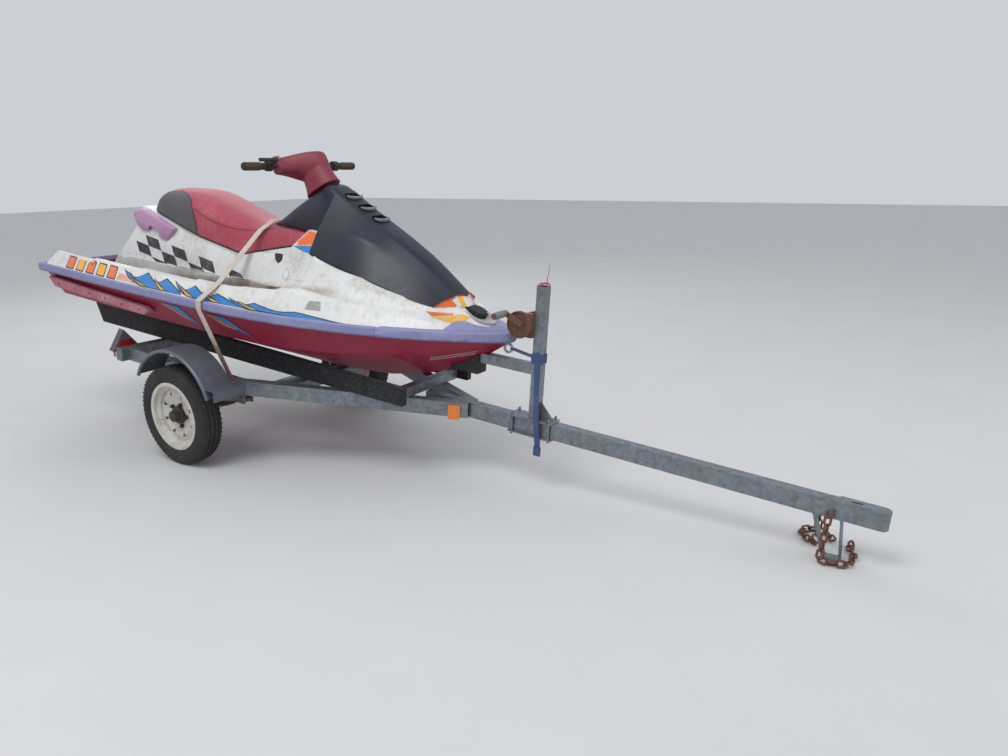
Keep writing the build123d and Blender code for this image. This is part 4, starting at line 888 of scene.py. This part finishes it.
# The nose carries a burst of amber and orange rays. A fairing closes it against the hood, and a
# pale oval dish is let into it for the ribbed filler cap.
nose_rays = [
    # slot, corners as x, z and a radius
    (orange_slot, [(1196, 656), (1290, 651), (1300, 643), (1226, 636)]),
    (amber_slot, [(1224, 633), (1300, 640), (1324, 648), (1362, 634), (1338, 607), (1280, 616)]),
]
nose_cell = 12
nose_shape = bmesh.new()
for side in (1, -1):
    for slot, corners in nose_rays:
        lay(nose_shape, deck_tree, corners, side, colour_lift, slot, cell=nose_cell)
vinyl("nose_graphics", nose_shape, vinyl_wall, *graphics_colours)
rounded("filler_cap", 1.5, black_rubber)
cap_slope = math.radians(22)
cap_centre = (1345, 0, 636)


def tilted(origin, slope, along, across, up):
    """A point given along, across and up from a plane that slopes down forward."""
    return (origin[0] + along * math.cos(slope) + up * math.sin(slope), across,
            origin[2] - along * math.sin(slope) + up * math.cos(slope))


def on_nose(along, across, up):
    """A point over the sloping plane of the filler cap."""
    return tilted(cap_centre, cap_slope, along, across, up)


dish_rows = [[on_nose(ahead, across, up) for ahead, across in oval(long, wide, 6)] for long, wide, up in (
    (105, 73, -12), (104, 72, 8), (101, 69, 12), (92, 60, 12), (87, 55, 8), (82, 50, 1.2), (46, 46, 1))]
dish_grey = finish("pale dish", (0.4, 0.41, 0.42), (0.16, 0.15, 0.13), 0.6, 0.5, scale=22.0)
skin("filler_dish", dish_rows, dish_grey, ring=True)

# The sponsons are moulded plastic rails along the hull's sides near the stern, once crimson and
# now faded to a dusty pink. Each is held by black bolts.
sponson_face_y = 537
sponson_tail_x = -1290
sponson_bolts_z = 488
sponson_fall = 0.04
pink_plastic = finish("sponson_pink", (0.4, 0.12, 0.16), (0.55, 0.42, 0.42), 0.9, 0.6, scale=14.0,
                      grain=0.6)
bolt_head = stud(9, 9, 4, 1.5)
for side_name, side in both_sides:
    sponson = "sponson_" + side_name
    rounded(sponson, 6, pink_plastic, segments=3)
    bolt_line = [(x, side * sponson_face_y, sponson_bolts_z - (x - sponson_tail_x) * sponson_fall)
                 for x in (-1180, -430)]
    repeated(sponson + "_bolts", bolt_line, bolt_head, 148, (0, side, 0), black_rubber)
bpy.data.objects.remove(bolt_head)

# The hood is a satin navy moulding that widens from the nose to its rear edge, with a raised ridge
# whose edge runs down to the nose. Its neck rises between the rider's knees to the steering, and
# three louvres are let into the ridge, each with a lip whose pale grey is a painted highlight.
navy_cover = finish("hood_black", (0.008, 0.011, 0.022), (0.028, 0.033, 0.045), 0.6, 0.4, scale=3.0,
                    grain=0.5, dents=0.6)
hood_sections = [
    # x, edge y, edge z, crease y, crease z, ridge y, ridge z
    (562, 253, 840, 198, 938, 62, 1114),
    (670, 247, 812, 182, 936, 60, 1056),
    (800, 238, 778, 160, 925, 60, 989),
    (925, 226, 746, 128, 868, 58, 931),
    (1075, 203, 706, 112, 795, 54, 850),
    (1200, 175, 675, 102, 722, 46, 769),
    (1290, 120, 660, 80, 684, 36, 709),
]
neck_sections = [
    # x, foot half width, top half width, top z
    (138, 90, 58, 948),
    (283, 116, 66, 1040),
    (420, 150, 64, 1118),
    (478, 165, 62, 1148),
    (564, 198, 62, 1113),
]
hood_wall = 4
hood_stations = 60


def eased(table, x):
    """A table's columns at x, on a smooth line through its rows."""
    last = len(table) - 1
    low = 0
    while low < last - 1 and table[low + 1][0] < x:
        low += 1
    step = table[low + 1][0] - table[low][0]
    t = (x - table[low][0]) / step
    made = []
    for column in range(1, len(table[0])):
        slopes = []
        for at in (low, low + 1):
            before, after = table[max(0, at - 1)], table[min(last, at + 1)]
            slopes.append(step * (after[column] - before[column]) / (after[0] - before[0]))
        made.append((2 * t ** 3 - 3 * t ** 2 + 1) * table[low][column] + (t ** 3 - 2 * t ** 2 + t) * slopes[0]
                    + (3 * t ** 2 - 2 * t ** 3) * table[low + 1][column] + (t ** 3 - t ** 2) * slopes[1])
    return made


def softened(points, radii):
    """A run of points whose inner corners are rounded, each by its own radius."""
    points = [Vector(point) for point in points]
    made = points[:1]
    for before, corner, after, radius in zip(points, points[1:], points[2:], radii):
        made += bend(before, corner, after, radius, 6)
    return made + points[-1:]


def softened_line(points):
    """A line in side view as x, z pairs, with every inner corner rounded."""
    line = softened([(x, 0, z) for x, z in points], [60] * (len(points) - 2))
    return [Vector((point.x, point.z)) for point in line]


def arch(x, half, radii):
    """A line across the craft at x, over both sides, from the y, z pairs of its port half."""
    line = softened(half, radii)
    return [(x, y, z) for y, z in line] + [(x, -y, z) for y, z in reversed(line[:-1])]


def face_up(piece):
    """Turns an open surface so that it faces up."""
    rise = sum(face.normal.z * face.area for face in piece.data.polygons)
    if rise < 0:
        piece.data.flip_normals()


def walled(piece):
    """Gives a cover's open surface its wall, inward of it."""
    face_up(piece)
    thickened(piece, hood_wall, -1)


def steps_between(low, high, count):
    """So many even steps from low to high."""
    return [low + (high - low) * step / (count - 1) for step in range(count)]


def hood_arch(x, low):
    """The hood's own cross-section at x."""
    edge_y, edge_z, crease_y, crease_z, ridge_y, ridge_z = eased(hood_sections, x)
    return arch(x, [(edge_y + 1, edge_z - 10), (edge_y, edge_z - low), (crease_y, crease_z - low),
                    (ridge_y, ridge_z - low), (0, ridge_z + 5 - low)], [4, 16, 22])


def hood_line(x, sweep=0, low=0):
    """A line across the hood at x, whose sides lie back by up to sweep, so far below its face."""
    straight = hood_arch(x, low)
    half = straight[0][1]
    swept = [hood_arch(x - sweep * abs(y / half) ** 1.2, low) for _, y, _ in straight]
    return [row[number] for number, row in enumerate(swept)]


hood_sweep = 74
sweep_start = 1000
hood_nose_x = 1290
hood_rows = []
for x in steps_between(541, hood_nose_x, hood_stations):
    share = max(0, (x - sweep_start) / (hood_nose_x - sweep_start))
    hood_rows.append(hood_line(x, hood_sweep * share ** 1.5))
hood = skin("hood_cover", hood_rows, navy_cover, body=None)
walled(hood)
neck_foot_z = 928
neck_rows = []
for x in steps_between(neck_sections[0][0], neck_sections[-1][0], 30):
    foot_y, top_y, top_z = eased(neck_sections, x)
    neck_rows.append(arch(x, [(foot_y + 3, neck_foot_z), (top_y, top_z), (0, top_z + 4)], [26]))
walled(skin("hood_neck", neck_rows, navy_cover))

louvre_places = (590, 678, 765)
louvre_half = 27
louvre_round = 23
louvre_slope = math.radians(27.4)
crest_x = 562
crest_z = 1120
crest_fall = 0.515


def louvre_point(x, across, along, up):
    """A point of a louvre, across and along the ridge and up from it."""
    return tilted((x, 0, crest_z - (x - crest_x) * crest_fall), louvre_slope, along, across, up)


def louvre_outline(grow, steps=12):
    """The slot of a louvre as across and along pairs, from its port end round by the front."""
    line = []
    for end, start in ((1, 0), (-1, math.pi)):
        for step in range(steps + 1):
            angle = start + math.pi * step / steps - math.pi / 2
            line.append((louvre_half * end + (louvre_round + grow) * math.cos(angle),
                         (louvre_round + grow) * math.sin(angle)))
    return line


for number, x in enumerate(louvre_places):
    slot_rows = [[louvre_point(x, across, along, up) for across, along in louvre_outline(0)]
                 for up in (-30, 30)]
    slot_cut = skin("louvre_cut", slot_rows, navy_cover, ring=True, caps=True, body=None)
    cut = hood.modifiers.new("louvre", "BOOLEAN")
    cut.object = slot_cut
    cut.solver = "EXACT"
    applied(hood)
    bpy.data.objects.remove(slot_cut)
    pocket_rows = [[louvre_point(x, across, along, up) for across, along in louvre_outline(grow)]
                   for up, grow in ((-3, 1.5), (-22, 0), (-26, -8))]
    skin("louvre_pocket_%d" % number, pocket_rows, black_rubber, ring=True)

smooth(hood.data, 35)
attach(hood, "trailer_and_craft")
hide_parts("hood")

fairing_bands = [
    # how far from the centre line, slot
    (66, 1),
    (48, 0),
    (26, 2),
    (-1, 0),
]
fairing_foot_z = 646
fairing_rows = [hood_line(hood_nose_x - 3, hood_sweep, 3)]
for ahead, share, drop in ((4, 0.97, 7), (14, 0.9, 18), (26, 0.8, 34), (36, 0.72, 50)):
    fairing_rows.append([(x + ahead, y * share, max(fairing_foot_z, z - drop))
                         for x, y, z in fairing_rows[0]])
fairing = skin("nose_fairing", fairing_rows, white_gelcoat, graphics_colours[orange_slot],
               graphics_colours[amber_slot])
face_up(fairing)
for face in fairing.data.polygons:
    out = abs((parked.inverted() @ face.center).y)
    face.material_index = next(slot for limit, slot in fairing_bands if out > limit)
red_edging = finish("red edging", (0.45, 0.03, 0.04), (0.3, 0.1, 0.1), 0.4, 0.45, scale=30.0)
edging_line = [(x + 1.5, y, z + 1.5) for x, y, z in hood_line(hood_nose_x, hood_sweep)[3:-3]]
tube("nose_edging", edging_line, [1.6] * len(edging_line), red_edging, sides=6)
# The pale grey of the louvre lips is a painted highlight on their humps.
lip_highlight_grey = finish("louvre lip painted highlight", (0.2, 0.21, 0.23), (0.08, 0.08, 0.09), 0.6, 0.6, scale=40.0)
for number, x in enumerate(louvre_places):
    lip_line = []
    lip_radii = []
    for step in steps_between(-1, 1, 21):
        swell = math.sqrt(max(0.0, 1 - abs(step) ** 2.6))
        lip_line.append(louvre_point(x, step * (louvre_half + louvre_round), 4 + 22 * swell, 2.5))
        lip_radii.append(2.5 + 6.5 * swell)
    tube("louvre_lip_%d" % number, lip_line, lip_radii, lip_highlight_grey)

# The seat is foam under crimson vinyl, stitched to a grey rear panel, with a darker panel let into
# each side and black piping along its seam. Its vinyl is bleached and creased.
crimson_vinyl = finish("seat_red", (0.38, 0.05, 0.078), (0.62, 0.25, 0.29), 0.55, 0.52, scale=5.0, grain=0.8)
grey_vinyl = finish("grey vinyl", (0.085, 0.085, 0.09), (0.2, 0.2, 0.2), 0.4, 0.6, scale=6.0, grain=0.8)
black_piping = finish("black piping", (0.015, 0.015, 0.016), (0.08, 0.08, 0.08), 0.4, 0.5, scale=30.0)
seat_sections = [
    # x, base y, base z, shoulder y, shoulder z, crown y, crown z
    (-795, 150, 900, 120, 962, 60, 985),
    (-700, 208, 880, 170, 1000, 90, 1034),
    (-600, 213, 850, 184, 1004, 96, 1044),
    (-450, 214, 800, 190, 985, 100, 1040),
    (-290, 213, 766, 188, 945, 96, 1002),
    (-130, 212, 740, 180, 905, 90, 958),
    (20, 210, 720, 170, 878, 80, 929),
    (250, 198, 760, 152, 900, 70, 936),
    (476, 184, 830, 140, 930, 60, 942),
]
seat_line = [(-1100, 1018), (-732, 921), (-334, 816), (0, 759), (165, 800), (380, 848), (478, 952)]
seat_tail_x = -795
seat_front_x = 466
tail_round = 46


def on_line(line, x):
    """Height of a bent line at x."""
    for near, far in zip(line, line[1:]):
        if near[0] <= x <= far[0]:
            return near[1] + (far[1] - near[1]) * (x - near[0]) / (far[0] - near[0])
    return line[-1][1]


def seat_ring(x):
    """The closed outline of the seat at x, from its lower edge over its shoulder and crown."""
    base_y, base_z, shoulder_y, shoulder_z, crown_y, crown_z = eased(seat_sections, x)
    low_z = on_line(seat_line, x) + 0.6
    side = [(base_y, base_z), (shoulder_y, shoulder_z), (crown_y, crown_z)]
    edge_y = base_y
    for near, far in zip(side, side[1:]):
        if near[1] <= low_z <= far[1]:
            edge_y = near[0] + (far[0] - near[0]) * (low_z - near[1]) / (far[1] - near[1])
    shoulder_z = max(shoulder_z, low_z + 4)
    crown_z = max(crown_z, low_z + 8)
    half = softened([(0, low_z), (edge_y, low_z), (min(shoulder_y, edge_y - 2), shoulder_z),
                     (min(crown_y, edge_y - 30), crown_z), (0, crown_z + 5)], [12, 42, 60])
    ring = [(x, y, z) for y, z in half] + [(x, -y, z) for y, z in reversed(half[1:-1])]
    if x < seat_tail_x + tail_round:
        middle_z = (low_z + crown_z) / 2
        share = math.sqrt(max(0.0, 1 - ((seat_tail_x + tail_round - x) / tail_round) ** 2))
        ring = [(x, y * share, middle_z + (z - middle_z) * share) for x, y, z in ring]
    return ring


tail_angles = (6, 20, 35, 50, 65, 78)
seat_x = [seat_tail_x + tail_round * (1 - math.cos(math.radians(angle))) for angle in tail_angles]
seat_x += steps_between(seat_tail_x + tail_round, seat_front_x, 72)
seat_rings = [seat_ring(x) for x in seat_x]
seat = skin("seat_cushion", seat_rings, crimson_vinyl, grey_vinyl, ring=True, caps=True, sharp=70)
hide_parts("seat")
for face in seat.data.polygons:
    if (parked.inverted() @ face.center).x < seat_tail_x + tail_round * 0.7:
        face.material_index = 1
edge_column = 4
for side_name, side in both_sides:
    piping = [(x, side * (ring[edge_column][1] + 1), ring[edge_column][2] + 3)
              for x, ring in zip(seat_x, seat_rings)]
    tube("seat_piping_" + side_name, piping, [4.5] * len(piping), black_piping)
panel_front = [(-586, 1037), (-520, 1030), (-450, 1006), (-410, 968), (-382, 920), (-364, 872), (-352, 826)]
panel_outline = [(-352, 825), (-732, 925), (-780, 940), (-784, 962), (-762, 996), (-700, 1022), (-640, 1034)]
seam_line = [(-388, 962), (-350, 946), (-284, 921), (-226, 906), (-168, 896), (-100, 887), (-59, 884),
             (0, 885), (60, 893), (120, 905), (240, 918), (400, 925)]
seat_tree = surface_tree(seat)


def on_surface(tree, side, line, lift):
    """The points of a side view's line, laid on a surface from one side."""
    made = []
    for x, z in line:
        hit = tree.ray_cast(Vector((x, side * far_off, z)), Vector((0, -side, 0)))[0]
        if hit:
            made.append(tuple(hit + Vector((0, side * lift, 0))))
    return made


def along(line, step):
    """A side view's line with points no more than a step apart."""
    made = []
    for near, far in zip(line, line[1:]):
        near, far = Vector(near), Vector(far)
        count = max(1, int((far - near).length / step))
        made += [near.lerp(far, number / count) for number in range(count)]
    return made + [Vector(line[-1])]


stitch = stud(7, 1.6, 1.6, 0.5)
for side_name, side in both_sides:
    shape = bmesh.new()
    outline = [Vector(point) for point in panel_outline + softened_line(panel_front)]
    lay(shape, seat_tree, outline, side, 1.3, 0, cell=9)
    vinyl("seat_panel_" + side_name, shape, 0.8, grey_vinyl)
    front = on_surface(seat_tree, side, softened_line(panel_front), 1.6)
    tube("seat_panel_edge_" + side_name, front, [2.2] * len(front), black_piping)
    seam_points = along(softened_line(seam_line), 12)
    seam = on_surface(seat_tree, side, seam_points, 0.4)
    tube("seat_seam_" + side_name, seam, [1.8] * len(seam), black_piping)
    sewn = on_surface(seat_tree, side, [(x, z - 9) for x, z in seam_points], 0.3)
    repeated("seat_stitches_" + side_name, sewn, stitch, 12, (0, side, 0.4), black_piping)
bpy.data.objects.remove(stitch)

# The grab handle is moulded lilac plastic. The steering has a dark crimson foam pad with two wings
# over a raked boot, a black bar, brown ribbed grips and a dome in a chromed ring at one end of the pad.
lilac_plastic = finish("handle_lilac", (0.5, 0.28, 0.46), (0.35, 0.22, 0.32), 0.4, 0.5, scale=14.0)
handle_outline = [(-762, 929, 40), (-483, 847, 8), (-551, 774, 16), (-609, 781, 16), (-620, 825, 14),
                  (-718, 843, 14), (-708, 816, 12), (-780, 808, 34), (-828, 846, 24), (-833, 884, 24),
                  (-806, 920, 26)]
handle_outer_y = 258
handle_arm = 34
handle_bar_x = -822
handle_bar_z = 885
handle_bar_radius = 26
handle_bar_half = 250
handle_line = curved(handle_outline)
handle_middle = Vector(middle(handle_line))
for side_name, side in both_sides:
    handle_rows = []
    for out, draw in ((0, 0), (22, 0), (28, 2), (32, 6), (handle_arm, 11)):
        drawn = [point + (handle_middle - point).normalized() * draw for point in handle_line]
        y = side * (handle_outer_y - handle_arm + out)
        handle_rows.append([(point.x, y, point.y) for point in drawn])
    skin("grab_handle_" + side_name, handle_rows, lilac_plastic, ring=True, caps=True)
grab_rows = [circle(handle_bar_x, y, handle_bar_z, handle_bar_radius, 15)
             for y in (-handle_bar_half, handle_bar_half)]
grab_bar = skin("grab_bar", grab_rows, lilac_plastic, ring=True, caps=True)
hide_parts("grab_handle")
rounded("handlebar", 1.5, black_rubber)
steering_tilt = math.radians(31.8)
steer_origin = Vector((393, 0, 1113))
pad_vinyl = finish("pad_red", (0.2, 0.02, 0.04), (0.34, 0.09, 0.1), 0.5, 0.5, scale=6.0, grain=0.9)
pad_half = [
    # y, local x, local z, length, height
    (-172, -76, 172, 62, 74),
    (-140, -70, 170, 78, 80),
    (-95, -48, 160, 118, 94),
    (-50, -18, 142, 156, 116),
]
pad_sections = pad_half + [(0, 0, 130, 182, 124)] + [(-y, *sizes) for y, *sizes in reversed(pad_half)]


def steered(forward, y, up):
    """A point given along and up from the steering's raked axis."""
    return tilted(steer_origin, -steering_tilt, forward, y, up)


def pad_ring(y, share):
    """A soft oblong ring of the pad at y."""
    forward, up, long, high = eased(pad_sections, y)
    ring = []
    for step in range(36):
        angle = 2 * math.pi * step / 36
        across = abs(math.cos(angle)) ** 0.7 * math.copysign(1, math.cos(angle)) * long / 2 * share
        rise = abs(math.sin(angle)) ** 0.7 * math.copysign(1, math.sin(angle)) * high / 2 * share
        ring.append(steered(forward + across, y, up + rise))
    return ring


pad_end = 172
pad_rings = [pad_ring(y, 1.0) for y in steps_between(2 - pad_end, pad_end - 2, 41)]
pad_rings = [pad_ring(-pad_end, 0.7)] + pad_rings + [pad_ring(pad_end, 0.7)]
pad = skin("pad_wings", pad_rings, pad_vinyl, ring=True, caps=True, body=None)
boot_rings = [[steered(ahead, across, up) for ahead, across in oval(long, wide, 10)] for up, long, wide in (
    (2, 108, 72), (20, 100, 68), (50, 90, 65), (90, 84, 64), (130, 74, 58))]
boot = skin("pad_boot", boot_rings, pad_vinyl, ring=True, caps=True, body=None)
join = pad.modifiers.new("boot", "BOOLEAN")
join.object = boot
join.operation = "UNION"
join.solver = "EXACT"
voxels = pad.modifiers.new("voxels", "REMESH")
voxels.mode = "VOXEL"
voxels.voxel_size = 0.004
smoothing = pad.modifiers.new("smoothing", "SMOOTH")
smoothing.iterations = 10
smoothing.factor = 0.6
applied(pad)
bpy.data.objects.remove(boot)
smooth(pad.data)
dress(pad, pad_vinyl)
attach(pad, "steering")
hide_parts("handlebar_pad")
for grip in ("grip_left", "grip_right"):
    rounded(grip, 1.5, black_rubber)
worn_grip = finish("grip_rubber", (0.1, 0.06, 0.04), (0.03, 0.025, 0.02), 0.6, 0.7, scale=40.0, grain=1.2)
bar_forward = -72
bar_up = 172
rib_circle = 18.4
rib = stud(3, 8, 2.6, 0.8)
for side_name, side in both_sides:
    sleeve_line = [steered(bar_forward, side * y, bar_up) for y in (272, 300, 335, 366)]
    tube("grip_sleeve_" + side_name, sleeve_line, [17.6, 18.4, 18.0, 17.8], worn_grip, sides=20,
         body="steering")
    for turn in range(0, 360, 30):
        across = rib_circle * math.cos(math.radians(turn))
        rise = rib_circle * math.sin(math.radians(turn))
        rib_line = [steered(bar_forward + across, side * y, bar_up + rise) for y in (276, 362)]
        facing = parked.to_3x3() @ (Vector(steered(across, 0, rise)) - steer_origin)
        repeated("grip_ribs_%s_%d" % (side_name, turn), rib_line, rib, 7, facing, worn_grip, "steering")
bpy.data.objects.remove(rib)
chrome = finish("dull chrome", (0.55, 0.55, 0.56), (0.2, 0.19, 0.18), 0.4, 0.3, scale=60.0, metallic=0.9)
pad_up = (-math.sin(steering_tilt), 0, math.cos(steering_tilt))
dome_at = steered(-74, -150, 212)
dome_way = (pad_up[0] + 0.25, -0.45, pad_up[2])
turned("pad_dome_ring", [(20, -12), (26, -12), (26, 4), (23, 7), (20, 5)], dome_at, dome_way, 40, chrome,
       body="steering")
turned("pad_dome", [(0.05, -10), (20.4, -10), (20.4, 4), (17, 9), (10, 12), (0.05, 13.5)], dome_at,
       dome_way, 40, pad_vinyl, body="steering")

# The jet pump, its impeller, the nozzle, the ride plate, the intake grate, the engine and the bow
# eye are cast or turned alloy, dulled by water.
cast_alloy = finish("pump_alloy", (0.4, 0.41, 0.42), (0.2, 0.2, 0.19), 0.5, 0.5, scale=20.0, metallic=0.8)
for casting in ("jet_pump", "impeller", "steering_nozzle", "ride_plate", "intake_grate", "engine", "bow_eye"):
    rounded(casting, 1, cast_alloy)

# The tie-down is cream polyester webbing, brown with mud at its end. The bow's straps are blue
# webbing, from the eye to the post and hanging down it.
webbing = finish("strap_cream", (0.6, 0.52, 0.44), (0.3, 0.14, 0.08), 0.5, 0.85, scale=8.0)
graded(webbing, (0.15, 0.06, 0.04), (0, 0, 1), 500, 290, amount=0.95)
rounded("tie_down_strap", 0.8, webbing)
blue_webbing = finish("strap_blue", (0.05, 0.08, 0.2), (0.2, 0.2, 0.2), 0.5, 0.85, scale=8.0)
rounded("bow_straps", 0.8, blue_webbing)
